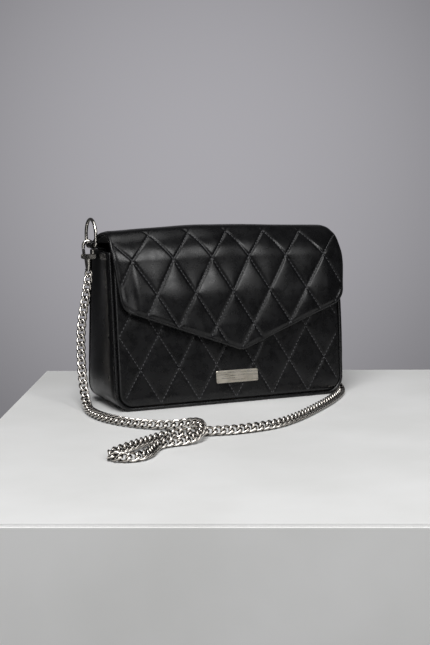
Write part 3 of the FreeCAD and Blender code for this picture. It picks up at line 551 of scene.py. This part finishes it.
def flap_point(x, s, out):
    # x along the bag, s along the flap's middle surface from low in front, out of that surface. The flap
    # stops short of the front panel
    x, s, out = np.broadcast_arrays(x, s, out)
    inward = margin_roll(x, s) - front_tilt(s)
    out = out - np.where(inward > 0, CLEAR * np.tanh(inward / CLEAR), inward)
    bend = LEAN + np.clip((s - S_BEND) / FRONT_BEND, 0, math.pi / 2 - LEAN)
    rear = np.clip((s - S_CREST) / BACK_BEND, 0, None)
    straight = np.minimum(s - S_BEND, 0)
    y = CREST_Y - np.cos(bend) * (FRONT_BEND + out) + straight * SIN
    z = CREST_MID - FRONT_BEND + np.sin(bend) * (FRONT_BEND + out) + straight * COS
    behind = s > S_CREST
    y = np.where(behind, CREST_Y + np.sin(rear) * (BACK_BEND + out), y)
    z = np.where(behind, CREST_MID - BACK_BEND + np.cos(rear) * (BACK_BEND + out), z)
    rise = smoothstep(RISE_FROM, S_CREST - 4, s) * (1 - smoothstep(S_CREST + 6, S_FOLD - 6, s))
    droop = END_DROP * np.clip(1 - (FLAP_RIGHT - x) / END_WIDTH, 0, 1) ** 2
    along = (x - BOW_X) / np.where(x < BOW_X, BOW_LEFT, BOW_RIGHT)
    z = z + rise * (CREST_BOW * np.clip(1 - along ** 2, 0, 1) ** 2 - droop)
    return np.stack([x + side_shift(x, s), y, z], axis=-1)


# Quilting: puffs between two families of stitch lines
def quilt_coords(x, v, x0, v0):
    a = (x - x0) / DIAMOND_WIDE + (v - v0) / DIAMOND_TALL
    b = (x - x0) / DIAMOND_WIDE - (v - v0) / DIAMOND_TALL
    return a, b


LINE_SPACING = 1 / math.hypot(1 / DIAMOND_WIDE, 1 / DIAMOND_TALL)
CHANNEL_WIDTH = 1.1
BLOCK, STEPS = 6, 20
PUFF_FULLNESS = 0.6
CLOTH_SCALE, CLOTH_FRAMES = 0.01, 22


def channel(a, b):
    # 1 on the stitch lines, 0 a few millimetres away from them
    away = np.minimum(np.abs(a - np.round(a)), np.abs(b - np.round(b))) * LINE_SPACING
    return np.exp(-(away / CHANNEL_WIDTH) ** 2)


def simulate_puffs():
    # Cloth sewn down along the stitch lines and blown up by its filling, as heights on a lattice
    count = BLOCK * STEPS + 1
    index = np.arange(count)
    a, b = np.meshgrid(index / STEPS, index / STEPS, indexing="ij")
    sewn = ((index[:, None] % STEPS) == 0) | ((index[None, :] % STEPS) == 0)
    source = np.random.default_rng(17)
    start = np.where(sewn, 0.0, 0.004 + source.normal(0, 0.0001, a.shape))
    points = np.stack([(a + b) / 2 * DIAMOND_WIDE * CLOTH_SCALE, (a - b) / 2 * DIAMOND_TALL * CLOTH_SCALE,
                       start], axis=-1)
    mesh = bpy.data.meshes.new("filling")
    faces = [face[::-1] for face in grid_faces(count, count)]
    mesh.from_pydata(points.reshape(-1, 3).tolist(), [], faces)
    if mesh.polygons[0].normal.z < 0:
        mesh.flip_normals()
    cloth = bpy.data.objects.new("filling", mesh)
    scene.collection.objects.link(cloth)
    seam = cloth.vertex_groups.new(name="seam")
    seam.add(np.flatnonzero(sewn).tolist(), 1.0, "REPLACE")
    fill = cloth.vertex_groups.new(name="fill")
    share = source.uniform(0.55, 1.0, (BLOCK + 1, BLOCK + 1))
    for i in range(BLOCK):
        for j in range(BLOCK):
            rows, cols = np.arange(STEPS)[:, None] + i * STEPS, np.arange(STEPS)[None, :] + j * STEPS
            fill.add((rows * count + cols).ravel().tolist(), float(share[i, j]), "REPLACE")
    modifier = cloth.modifiers.new("cloth", "CLOTH")
    settings = modifier.settings
    settings.vertex_group_mass = "seam"
    settings.vertex_group_pressure = "fill"
    settings.use_pressure = True
    settings.uniform_pressure_force = 4.0
    settings.effector_weights.gravity = 0.0
    settings.quality = 5
    settings.tension_stiffness = 15.0
    settings.compression_stiffness = 15.0
    settings.shear_stiffness = 8.0
    settings.bending_stiffness = 2.0
    settings.shrink_min = 0.0
    settings.air_damping = 5.0
    modifier.collision_settings.use_collision = False
    modifier.point_cache.frame_end = CLOTH_FRAMES
    for step in range(1, CLOTH_FRAMES + 1):
        scene.frame_set(step)
    blown = cloth.evaluated_get(bpy.context.evaluated_depsgraph_get()).to_mesh()
    heights = np.array([vertex.co.z for vertex in blown.vertices]).reshape(count, count) / CLOTH_SCALE
    scene.frame_set(1)
    bpy.data.objects.remove(cloth)
    bpy.data.meshes.remove(mesh)
    peaks = [heights[i * STEPS:(i + 1) * STEPS, j * STEPS:(j + 1) * STEPS].max()
             for i in range(BLOCK) for j in range(BLOCK)]
    return (np.clip(heights, 0, None) / np.mean(peaks)) ** PUFF_FULLNESS


PUFFS = simulate_puffs()


def puff(a, b, shift):
    # Height of the filling, 0 on the stitch lines and about 1 in the middle of a diamond
    u = np.mod(a + shift, BLOCK) * STEPS
    v = np.mod(b + 2 * shift, BLOCK) * STEPS
    i = np.minimum(u.astype(int), BLOCK * STEPS - 1)
    j = np.minimum(v.astype(int), BLOCK * STEPS - 1)
    p, q = u - i, v - j
    low = PUFFS[i, j] * (1 - q) + PUFFS[i, j + 1] * q
    high = PUFFS[i + 1, j] * (1 - q) + PUFFS[i + 1, j + 1] * q
    return low * (1 - p) + high * p


# Flap
def flap_outline_columns():
    # Columns across the flap and where each one starts above the foot
    rise = FLAP_CORNER_Z - FLAP_POINT_Z
    low = (FLAP_POINT_Z - FRONT_OFFSET * SIN) / COS
    left_slope = math.atan2(rise, FLAP_POINT_X - FLAP_LEFT)
    right_slope = math.atan2(rise, FLAP_RIGHT - FLAP_POINT_X)
    tilt = (right_slope - left_slope) / 2
    reach = FLAP_POINT_R / math.cos((left_slope + right_slope) / 2)
    point_c = (FLAP_POINT_X - reach * math.sin(tilt), low + reach * math.cos(tilt))

    def corner(edge_x, side, slope):
        lift = FLAP_CORNER_R * math.tan((math.pi / 2 - slope) / 2)
        return (edge_x - side * FLAP_CORNER_R, low + rise + lift)

    left_deg, right_deg = math.degrees(left_slope), math.degrees(right_slope)
    left_arc = arc_points(corner(FLAP_LEFT, -1, left_slope), FLAP_CORNER_R, 180, 270 - left_deg, 22)
    point_arc = arc_points(point_c, FLAP_POINT_R, 270 - left_deg, 270 + right_deg, 11)
    right_arc = arc_points(corner(FLAP_RIGHT, 1, right_slope), FLAP_CORNER_R, 270 + right_deg, 360, 22)
    straight = np.linspace(0, 1, 126)[1:-1, None]
    left_run = left_arc[-1] + (point_arc[0] - left_arc[-1]) * straight
    right_run = point_arc[-1] + (right_arc[0] - point_arc[-1]) * straight
    return np.concatenate([left_arc, left_run, point_arc, right_run, right_arc])


edge = flap_outline_columns()
flap_end = S_FOLD - 3.0
near_edge = np.array([0.0, 0.12, 0.35, 0.7, 1.1, 1.5, 1.9, 2.3, 2.8, 3.4, 4.1])
inner_rows = np.linspace(0, 1, 206)[1:, None]
bottom = edge[:, 1]
s_low = bottom[None, :] + near_edge[:, None]
s_high = s_low[-1][None, :] + (flap_end - s_low[-1])[None, :] * inner_rows
flap_s = np.concatenate([s_low, s_high])
flap_x = np.broadcast_to(edge[:, 0], flap_s.shape)
outline = np.concatenate([edge, [[FLAP_RIGHT, S_FOLD + 60], [FLAP_LEFT, S_FOLD + 60]]])
flat = np.stack([flap_x.ravel(), flap_s.ravel()], axis=-1)
flap_d = edge_distance(flat, outline).reshape(flap_s.shape)
TURNED, BEAD, UNDER_EDGE = 2.4, 1.5, 1.3
SEAM_DEPTH, SEAM_WIDTH = 0.12, 0.55
FLAP_PUFF, FLAP_CHANNEL, FLAP_DRAPE = 1.15, 0.4, 0.30
CALM_FROM, CALM_TO, CALM = 116.0, 144.0, 0.7
FLAP_CROSSING = (0.0, 103.5)
TIGHT_FROM, TIGHT = 134.2, 1.25
QUILT_TOP, PLAIN_OVER, PLAIN_RISE = 158.0, 9.0, 0.9


def flap_pattern(s):
    # Height on the quilting pattern, which closes up where the flap bends
    return s + (TIGHT - 1) * np.clip(s - TIGHT_FROM, 0, None)


def flap_place(v):
    # Height on the flap of a height on the pattern
    return np.where(v > TIGHT_FROM, TIGHT_FROM + (v - TIGHT_FROM) / TIGHT, v)


def flap_height(x, s, d):
    # Outer face of the flap above its middle surface
    a, b = quilt_coords(x, flap_pattern(s), *FLAP_CROSSING)
    plain = smoothstep(QUILT_TOP, QUILT_TOP + PLAIN_OVER, s)
    bead = BEAD * round_edge(d, BEAD)
    seam = SEAM_DEPTH * np.exp(-((d - TURNED) / SEAM_WIDTH) ** 2)
    calm = 1 - CALM * smoothstep(CALM_FROM, CALM_TO, s)
    body = smoothstep(0.6, 5.5, d) * (FLAP_PUFF * calm * puff(a, b, 0) * (1 - plain) + PLAIN_RISE * plain)
    groove = FLAP_CHANNEL * channel(a, b) * (1 - plain) * smoothstep(TURNED, 5.0, d)
    drape = FLAP_DRAPE * waves(3, 6, 75.0, x, s) * smoothstep(2.0, 14.0, d)
    return bead - seam + body - groove + drape


flap_out = flap_height(flap_x, flap_s, flap_d)
taper = smoothstep(S_FOLD - 16, S_FOLD - 4, flap_s)
flap_out = flap_out * (1 - taper) + PLAIN_RISE * taper
flap_in = -UNDER_EDGE * round_edge(flap_d, UNDER_EDGE) - 0.02
flap_in = flap_in * (1 - taper) - PLAIN_RISE * taper
flap_quilt = shell("flap_quilt", flap_point(flap_x, flap_s, flap_out),
                   flap_point(flap_x, flap_s, flap_in), QUILTED)
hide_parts("flap_outer")
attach(flap_quilt, "flap")

# Flap lining, set in from the turned edge
LINING_OUTER, LINING_INNER = -1.42, -2.2
lining_rows = np.linspace(0, 1, 70)[:, None]
lining_scale = (FLAP_HALF - TURNED) / FLAP_HALF
lining_edge = np.stack([FLAP_MIDDLE + (edge[:, 0] - FLAP_MIDDLE) * lining_scale,
                        edge[:, 1] + TURNED], axis=-1)
lining_s = lining_edge[None, :, 1] + (S_FOLD - 10.0 - lining_edge[None, :, 1]) * lining_rows
lining_x = np.broadcast_to(lining_edge[:, 0], lining_s.shape)
ripple = 0.12 * waves(11, 5, 45.0, lining_x, lining_s)
flap_lining = shell("flap_lining_cloth", flap_point(lining_x, lining_s, LINING_OUTER),
                    flap_point(lining_x, lining_s, LINING_INNER + ripple), LINED)
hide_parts("flap_lining")
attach(flap_lining, "flap")


# Front and back panels
PANEL_LOW, PANEL_ROUND = 4.1, 13.3
RIM, RIM_DEPTH, PANEL_INNER = 2.6, 2.2, -3.5
FRONT_PUFF, FRONT_CHANNEL, FRONT_RISE, FRONT_DRAPE = 0.3, 0.2, 0.2, 0.3
FRONT_CROSSING = (20.7, 36.5)
BACK_RISE, BACK_DRAPE = 1.4, 0.35


def panel_grid(columns, rows):
    # Panel outline with round lower corners, as columns and rows
    corner = arc_points((PANEL_HALF - PANEL_ROUND, PANEL_LOW + PANEL_ROUND), PANEL_ROUND, -90, 0, 18)
    run = np.stack([np.linspace(0, corner[0, 0], columns), np.full(columns, PANEL_LOW)], axis=-1)[:-1]
    half = np.concatenate([run, corner])
    base = np.concatenate([half[:0:-1] * np.array([-1.0, 1.0]), half])
    outline = np.concatenate([base, [[PANEL_HALF, SLOPE], [-PANEL_HALF, SLOPE]]])
    share = np.concatenate([[0.0, 0.002, 0.005, 0.010, 0.016], np.linspace(0.024, 1 - 0.016, rows),
                            [1 - 0.010, 1 - 0.005, 1 - 0.002, 1.0]])[:, None]
    v = base[None, :, 1] + (SLOPE - base[None, :, 1]) * share
    x = np.broadcast_to(base[:, 0], v.shape)
    d = edge_distance(np.stack([x.ravel(), v.ravel()], axis=-1), outline).reshape(v.shape)
    return x, v, d, outline


def panel_rim(d):
    # The panel's face falls away at its edges
    return RIM_DEPTH * (round_edge(d, RIM) - 1)


def panel_inner(d):
    return PANEL_INNER - 0.3 * panel_rim(d)


front_x, front_v, front_d, front_outline = panel_grid(110, 150)


def front_height(x, v, d):
    # Outer face of the front panel
    a, b = quilt_coords(x, v, *FRONT_CROSSING)
    body = smoothstep(1.5, 8.0, d) * (FRONT_PUFF * puff(a, b, 3) + FRONT_RISE)
    groove = FRONT_CHANNEL * channel(a, b) * smoothstep(1.5, 5.0, d)
    drape = FRONT_DRAPE * waves(5, 6, 80.0, x, v) * smoothstep(2.0, 14.0, d)
    return panel_rim(d) + body - groove + drape


front_w = front_height(front_x, front_v, front_d)
front_quilt = shell("front_quilt", front_point(front_x, front_v, front_w),
                    front_point(front_x, front_v, panel_inner(front_d)), QUILTED)
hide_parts("front_panel")
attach(front_quilt, "bag")

back_x, back_v, back_d, _ = panel_grid(70, 90)
back_w = (panel_rim(back_d) + BACK_RISE * smoothstep(0.0, 45.0, back_d)
          + BACK_DRAPE * waves(9, 7, 90.0, back_x, back_v) * smoothstep(2.0, 20.0, back_d))
back_pad = shell("back_pad", back_point(back_x, back_v, back_w),
                 back_point(back_x, back_v, panel_inner(back_d)), SMOOTH)
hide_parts("back_panel")
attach(back_pad, "bag")


# Piping along the panels' side and bottom edges
def piping(name, node, placed):
    rise = (PIPING + (PANEL - PIPING) * SIN) / COS
    path = u_path(BAG_HALF - PIPING, rise, SLOPE, CORNER - PIPING, 20, 60, 90)
    depth = np.full(len(path), -(PANEL - PIPING))
    swell = PIPING * (1 + 0.035 * waves(21, 5, 30.0, path[:, 0], path[:, 1]))
    piece = tube(name, placed(path[:, 0], path[:, 1], depth), swell, PIPED)
    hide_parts(node)
    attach(piece, "bag")
    return piece


piping("front_welt", "front_piping", front_point)
piping("back_welt", "back_piping", back_point)


# Gusset: one strip round the sides and the bottom
BULGE, BULGE_Z, DENT, DENT_FROM, DENT_TO = 2.2, 32.0, 1.8, 45.0, 140.0
TUCK, TUCK_WIDTH = 1.5, 5.0
HEM_DEPTH, HEM_BELOW = 0.5, 5.0


def gusset_strip():
    path = u_path(BAG_HALF, 0.0, SIDE_HEIGHT, CORNER, 18, 90, 70)
    heading = unit(np.gradient(path, axis=0))
    outward = np.stack([heading[:, 1], -heading[:, 0]], axis=-1)
    across = np.linspace(-1, 1, 45)
    half_depth = BASE_DEPTH / 2 - path[:, 1] * TAN - PANEL / COS - 0.2
    y = half_depth[:, None] * across[None, :]
    height = np.broadcast_to(path[:, 1:2], y.shape)
    on_side = smoothstep(2.0, 16.0, height)
    crown = (1 - across[None, :] ** 2)
    bulge = on_side * crown * (BULGE * np.exp(-((height - BULGE_Z) / BULGE_Z) ** 2) + 0.3)
    dent = -DENT * on_side * np.exp(-(across[None, :] / 0.5) ** 2) * smoothstep(DENT_FROM, DENT_TO, height)
    fold = 0.3 * waves(31, 4, 120.0, y, height * 0.6) * on_side * crown
    tuck = -TUCK * (1 - smoothstep(0.0, TUCK_WIDTH, half_depth[:, None] - np.abs(y))) * on_side
    out = bulge + dent + fold + tuck
    hem = HEM_DEPTH * np.exp(-((SIDE_HEIGHT - HEM_BELOW - height) / 0.6) ** 2) * (height > 100)
    rim = 1.1 * (round_edge(SIDE_HEIGHT - height, 1.2) - 1)

    def place(offset):
        xz = path[:, None] + outward[:, None] * offset[..., None]
        x = xz[..., 0] + side_bow(xz[..., 0], xz[..., 1]) * (1 - MIDDLE_FLAT * crown)
        return np.stack([x, y, np.maximum(xz[..., 1], 0.0)], axis=-1)

    return place(out - hem + rim), place(np.minimum(out, 0.4) - GUSSET - rim)


outer, inner = gusset_strip()
gusset = shell("gusset_strip", outer, inner, SMOOTH)
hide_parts("gusset")
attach(gusset, "bag")


# Ring tabs: a strap folded round each ring's bar and sewn inside the gusset
def chaikin(points, times):
    for _ in range(times):
        near = points[:-1] * 0.75 + points[1:] * 0.25
        far = points[:-1] * 0.25 + points[1:] * 0.75
        middle = np.stack([near, far], axis=1).reshape(-1, points.shape[1])
        points = np.concatenate([points[:1], middle, points[-1:]])
    return points


STRAP, TAB_WIDE, LOOP, TAB_SIDES = 1.4, 14.0, 2.45, 28
LEG_OUT, LEG_IN, LEG_LOW = -10.3, -11.7, 126.0
EDGE_NEAR, EDGE_FAR = SIDE_HEIGHT + 0.9, SIDE_HEIGHT + 2.3


def standing_strap(near, far, foot):
    # The strap rises from the gusset's edge to the bar
    loop = arc_points((0, 0), LOOP, -100, 150, 14)
    return np.concatenate([[(LEG_OUT, foot), (LEG_OUT, near - 7), (LEG_OUT, near), (-5.0, near)], loop,
                           [(-5.5, far), (LEG_IN, far), (LEG_IN, near - 7), (LEG_IN, foot)]])


def hanging_strap(near, far, foot):
    # The strap turns over the gusset's edge and hangs down to the bar
    loop = arc_points((0, 0), LOOP, 112, 428, 18)
    return np.concatenate([[(LEG_OUT, foot), (LEG_OUT, near - 5), (LEG_OUT, near), (-STRAP / 2, near),
                            (-STRAP / 2, LOOP + 1.4)], loop,
                           [(STRAP / 2, LOOP + 1.4), (STRAP / 2, far), (LEG_IN, far), (LEG_IN, near - 5),
                            (LEG_IN, foot)]])


def ring_tab(name, node, side, bar_z, strap):
    # Strap with rounded edges along its folded path
    path = chaikin(strap(EDGE_NEAR - bar_z, EDGE_FAR - bar_z, LEG_LOW - bar_z), 2)
    heading = unit(np.gradient(path, axis=0))
    normal = np.stack([-heading[:, 1], heading[:, 0]], axis=-1)
    turn = np.linspace(0, 2 * math.pi, TAB_SIDES, endpoint=False)
    flat = squared(np.cos(turn), 0.25) * TAB_WIDE / 2
    deep = squared(np.sin(turn), 0.6) * (STRAP / 2 - 0.05)
    xz = path[:, None] + normal[:, None] * deep[None, :, None]
    y = np.broadcast_to(flat, xz.shape[:2])
    points = np.stack([side * (BAR_X + xz[..., 0]), y, bar_z + xz[..., 1]], axis=-1)
    piece = add_mesh(name, points, tube_faces(len(path), TAB_SIDES), SMOOTH)
    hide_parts(node)
    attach(piece, "bag")


ring_tab("left_tab", "left_ring_tab", -1, LEFT_BAR_Z, standing_strap)
ring_tab("right_tab", "right_ring_tab", 1, RIGHT_BAR_Z, hanging_strap)


# Hinge strip: the back's leather runs on over the fold into the flap
STRIP_LOW, STRIP_THICK = -17.0, 1.2


def hinge_strip():
    across = np.linspace(FLAP_LEFT + 2.0, FLAP_RIGHT - 2.0, 80)
    low = np.array([STRIP_LOW, STRIP_LOW + 0.4, STRIP_LOW + 1.2, -10.0, -5.0, -1.0]) + SLOPE
    proud = np.array([0.9, 1.7, 2.0, 2.0, 2.0, 2.0])
    high = S_FOLD - np.array([2.0, 5.0, 8.0, 11.0, 13.0])
    over = np.array([2.3, 2.2, 2.0, 1.6, 0.9])
    below = back_point(np.zeros(6), low, proud)[:, 1:]
    above = flap_point(np.full(5, FLAP_MIDDLE), high, over)[:, 1:]
    path = chaikin(np.concatenate([below, above]), 2)
    heading = unit(np.gradient(path, axis=0))
    inward = np.stack([-heading[:, 1], heading[:, 0]], axis=-1)
    shape = (len(path), len(across), 2)

    def spread(line):
        yz = np.broadcast_to(line[:, None], shape)
        return np.concatenate([np.broadcast_to(across[None, :, None], shape[:2] + (1,)), yz], axis=-1)

    return spread(path), spread(path + inward * STRIP_THICK)


outer, inner = hinge_strip()
strip = shell("hinge_strip", outer, inner, SMOOTH)
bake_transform(strip)


# Compartment lining: a soft cloth bag inside
LINING_SIDES, LINING_THICK = 120, 0.8


def lining_bag():
    # Rounded plan at each height, from the floor's middle to the top edge
    floor, upper, round_low = 4.0, SIDE_HEIGHT - 4.0, 11.0
    half = BAG_HALF - 5.6
    depth_inset = (PANEL + 1.8) / COS
    low_turn = np.linspace(0, math.pi / 2, 10)
    heights = np.concatenate([floor + round_low * (1 - np.cos(low_turn)),
                              np.linspace(floor + round_low, upper, 40)[1:]])
    widths = np.concatenate([half - round_low * (1 - np.sin(low_turn)), np.full(39, half)])
    depths = BASE_DEPTH / 2 - heights * TAN - depth_inset
    angle = np.linspace(0, 2 * math.pi, LINING_SIDES, endpoint=False)

    def plan(width, depth):
        return squared(np.cos(angle), 0.22) * width, squared(np.sin(angle), 0.22) * depth

    def layer(inset):
        rows = []
        for share in (0.02, 0.35, 0.7, 0.9):
            x, y = plan((widths[0] - inset) * share, (depths[0] - inset) * share)
            rows.append(np.stack([x, y, np.full_like(x, floor + inset)], axis=-1))
        for height, width, depth in zip(heights, widths, depths):
            x, y = plan(width - inset, depth - inset)
            lift = max(height, floor + inset)
            sag = 1 - 0.012 * (1 + waves(41, 5, 60.0, x, np.full_like(x, lift) + y))
            rows.append(np.stack([x * sag, y * sag, np.full_like(x, lift)], axis=-1))
        return rows

    rows = np.array(layer(0.0) + layer(LINING_THICK)[::-1])
    return rows, tube_faces(len(rows), LINING_SIDES)


points, faces = lining_bag()
lining = add_mesh("lining_bag", points, faces, LINED)
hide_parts("lining")
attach(lining, "bag")


# Stitches: short capsules of thread lying in the seams
STITCH_RAISED, STITCH_INSET, STRIP_PITCH = 0.16, 2.6, 3.6


def capsule(length, radius, sides=7, rings=5):
    turn = np.linspace(0, 2 * math.pi, sides, endpoint=False)
    along = np.linspace(-1, 1, rings)
    thick = radius * np.sqrt(np.clip(1.02 - along ** 4, 0, 1))
    ring = np.stack([np.zeros(sides), np.cos(turn), np.sin(turn) * 0.8], axis=-1)
    points = ring[None] * thick[:, None, None]
    points[..., 0] = (along * length / 2)[:, None]
    return points.reshape(-1, 3), tube_faces(rings, sides)


def sew(name, places, headings, normals, body, length=2.6, radius=0.36):
    # One mesh of stitches at places, each lying along its heading
    headings = unit(headings)
    normals = unit(normals - headings * (normals * headings).sum(axis=1, keepdims=True))
    across = np.cross(normals, headings)
    axes = np.stack([headings, across, normals], axis=1)
    shape, shape_faces = capsule(length, radius)
    points = np.einsum("pk,nkc->npc", shape, axes) + places[:, None]
    faces = [[corner + n * len(shape) for corner in face]
             for n in range(len(places)) for face in shape_faces]
    piece = add_mesh(name, points, faces, THREAD)
    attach(piece, body)
    return piece


def quilt_stitches(name, surface, height, crossing, outline, place, high, body):
    # Ten stitches along each side of each diamond, kept inside the outline
    spots = []
    for family in (0, 1):
        for line_number in range(-8, 9):
            t = np.arange(-8, 8, 0.1) + 0.05
            fixed = np.full_like(t, float(line_number))
            a, b = (fixed, t) if family == 0 else (t, fixed)
            x = crossing[0] + (a + b) / 2 * DIAMOND_WIDE
            v = place(crossing[1] + (a - b) / 2 * DIAMOND_TALL)
            run = np.full_like(t, 1.0 if family else -1.0)
            spots.append(np.stack([x, v, run], axis=-1))
    spots = np.concatenate(spots)
    leftmost, rightmost = outline[:, 0].min(), outline[:, 0].max()
    lowest = np.interp(spots[:, 0], LOWER_EDGE[name][:, 0], LOWER_EDGE[name][:, 1])
    spots = spots[(spots[:, 0] > leftmost) & (spots[:, 0] < rightmost) & (spots[:, 1] > lowest)
                  & (spots[:, 1] < high)]
    d = edge_distance(spots[:, :2], outline)
    spots, d = spots[d > STITCH_INSET], d[d > STITCH_INSET]
    x, v = spots[:, 0], spots[:, 1]
    step = np.stack([np.full_like(x, DIAMOND_WIDE), spots[:, 2] * DIAMOND_TALL], axis=-1) * 0.01
    out = height(x, v, d)
    places = surface(x, v, out + STITCH_RAISED)
    ahead_of = surface(x + step[:, 0], v + step[:, 1], out)
    behind_of = surface(x - step[:, 0], v - step[:, 1], out)
    return sew(name, places, ahead_of - behind_of, surface(x, v, out + 1.0) - places, body)


LOWER_EDGE = {"flap_stitches": edge, "front_stitches": front_outline[:-2]}
flap_stitches = quilt_stitches("flap_stitches", flap_point, flap_height, FLAP_CROSSING, outline,
                               flap_place, QUILT_TOP, "flap")
front_stitches = quilt_stitches("front_stitches", front_point, front_height, FRONT_CROSSING,
                                front_outline, np.asarray, SLOPE - 6, "bag")
strip_x = np.arange(FLAP_LEFT + 5.0, FLAP_RIGHT - 4.0, STRIP_PITCH)
strip_v = np.full_like(strip_x, SLOPE + STRIP_LOW + 2.6)
strip_places = back_point(-strip_x, strip_v, np.full_like(strip_x, 2.05))
strip_stitches = sew("strip_stitches", strip_places, np.tile([1.0, 0.0, 0.0], (len(strip_x), 1)),
                     np.tile([0.0, COS, SIN], (len(strip_x), 1)), "bag")


# Finishes of the solids that keep their shape
finishes = {"name_plate": PLATE, "base_board": BOARD, "plate_backing": SNAP_METAL}
for name in ("snap_socket", "snap_socket_washer", "snap_stud", "snap_stud_washer"):
    finishes[name] = SNAP_METAL
for side in ("left", "right"):
    for part in ("ring", "hook", "hook_gate", "gate_pin", "swivel"):
        finishes[f"{side}_{part}"] = NICKEL
for name, material in finishes.items():
    nodes[name].data.materials.clear()
    nodes[name].data.materials.append(material)


# Stage: a pale plinth and soft studio light, in metres and watts
PLINTH_SIZE, PLINTH_MIDDLE, PLINTH_TURN = (0.90, 0.58, 0.60), (0.262, -0.142, -0.30), -25.0
AIM = (0, 0, 0.08)
SOFTBOXES = (
    ("softbox_key", (-0.65, -0.95, 1.67), (0.9, 0.9), 27),
    ("softbox_top", (0.0, -0.2, 1.9), (1.0, 1.0), 6.5),
    ("softbox_front", (0.47, -1.5, 0.85), (0.5, 0.5), 2.4),
    ("softbox_middle", (0.30, -1.5, 0.95), (0.35, 0.5), 4.6),
    ("softbox_left", (-0.95, -1.7, 0.35), (0.5, 0.7), 3.8),
    ("softbox_high", (-0.6, -1.6, 0.9), (0.5, 0.7), 1.2),
)
WALL_TOWARD = (0.39, 0.92, 0.0)
WALL_STOPS = ((0.0, (0.03, 0.03, 0.032)), (0.87, (0.04, 0.04, 0.042)), (0.95, (0.12, 0.12, 0.126)),
              (0.985, (0.21, 0.206, 0.22)), (1.0, (0.40, 0.392, 0.418)))


def plinth():
    material, tree, shader, coords = new_material("plinth_paint")
    cloud = texture(tree, "ShaderNodeTexNoise", coords, 9.0, Detail=5.0)
    paint(tree, shader, cloud, (0.70, 0.70, 0.69), (0.76, 0.76, 0.755))
    shader.inputs["Roughness"].default_value = 0.75
    work = bmesh.new()
    bmesh.ops.create_cube(work, size=1.0)
    bmesh.ops.scale(work, vec=PLINTH_SIZE, verts=work.verts)
    bmesh.ops.translate(work, vec=PLINTH_MIDDLE, verts=work.verts)
    bmesh.ops.rotate(work, cent=(0, 0, 0), verts=work.verts,
                     matrix=Matrix.Rotation(math.radians(PLINTH_TURN), 3, "Z"))
    bmesh.ops.bevel(work, geom=work.edges[:], offset=0.002, segments=2, affect="EDGES")
    mesh = bpy.data.meshes.new("plinth")
    work.to_mesh(mesh)
    work.free()
    mesh.materials.append(material)
    piece = bpy.data.objects.new("plinth", mesh)
    scene.collection.objects.link(piece)


def softbox(name, place, size, power):
    light = bpy.data.lights.new(name, "AREA")
    light.shape = "RECTANGLE"
    light.size, light.size_y = size
    light.energy = power
    lamp = bpy.data.objects.new(name, light)
    lamp.location = place
    lamp.rotation_euler = (Vector(AIM) - Vector(place)).to_track_quat("-Z", "Y").to_euler()
    scene.collection.objects.link(lamp)


def studio():
    # Grey wall behind the bag, darker room in front of it
    world = bpy.data.worlds.new("studio")
    scene.world = world
    world.use_nodes = True
    tree = world.node_tree
    coords = tree.nodes.new("ShaderNodeTexCoord")
    toward = tree.nodes.new("ShaderNodeVectorMath")
    toward.operation = "DOT_PRODUCT"
    toward.inputs[1].default_value = WALL_TOWARD
    tree.links.new(coords.outputs["Generated"], toward.inputs[0])
    ramp = tree.nodes.new("ShaderNodeValToRGB")
    share = mapped(tree, toward.outputs["Value"], 0.0, 1.0, -1.0, 1.0)
    tree.links.new(share, ramp.inputs["Fac"])
    stops = ramp.color_ramp.elements
    for place, tone in WALL_STOPS:
        stop = stops[0] if place == 0.0 else stops[-1] if place == 1.0 else stops.new(place)
        stop.position = place
        stop.color = (*tone, 1)
    tree.links.new(ramp.outputs["Color"], tree.nodes["Background"].inputs["Color"])


plinth()
for name, place, size, power in SOFTBOXES:
    softbox(name, place, size, power)
studio()
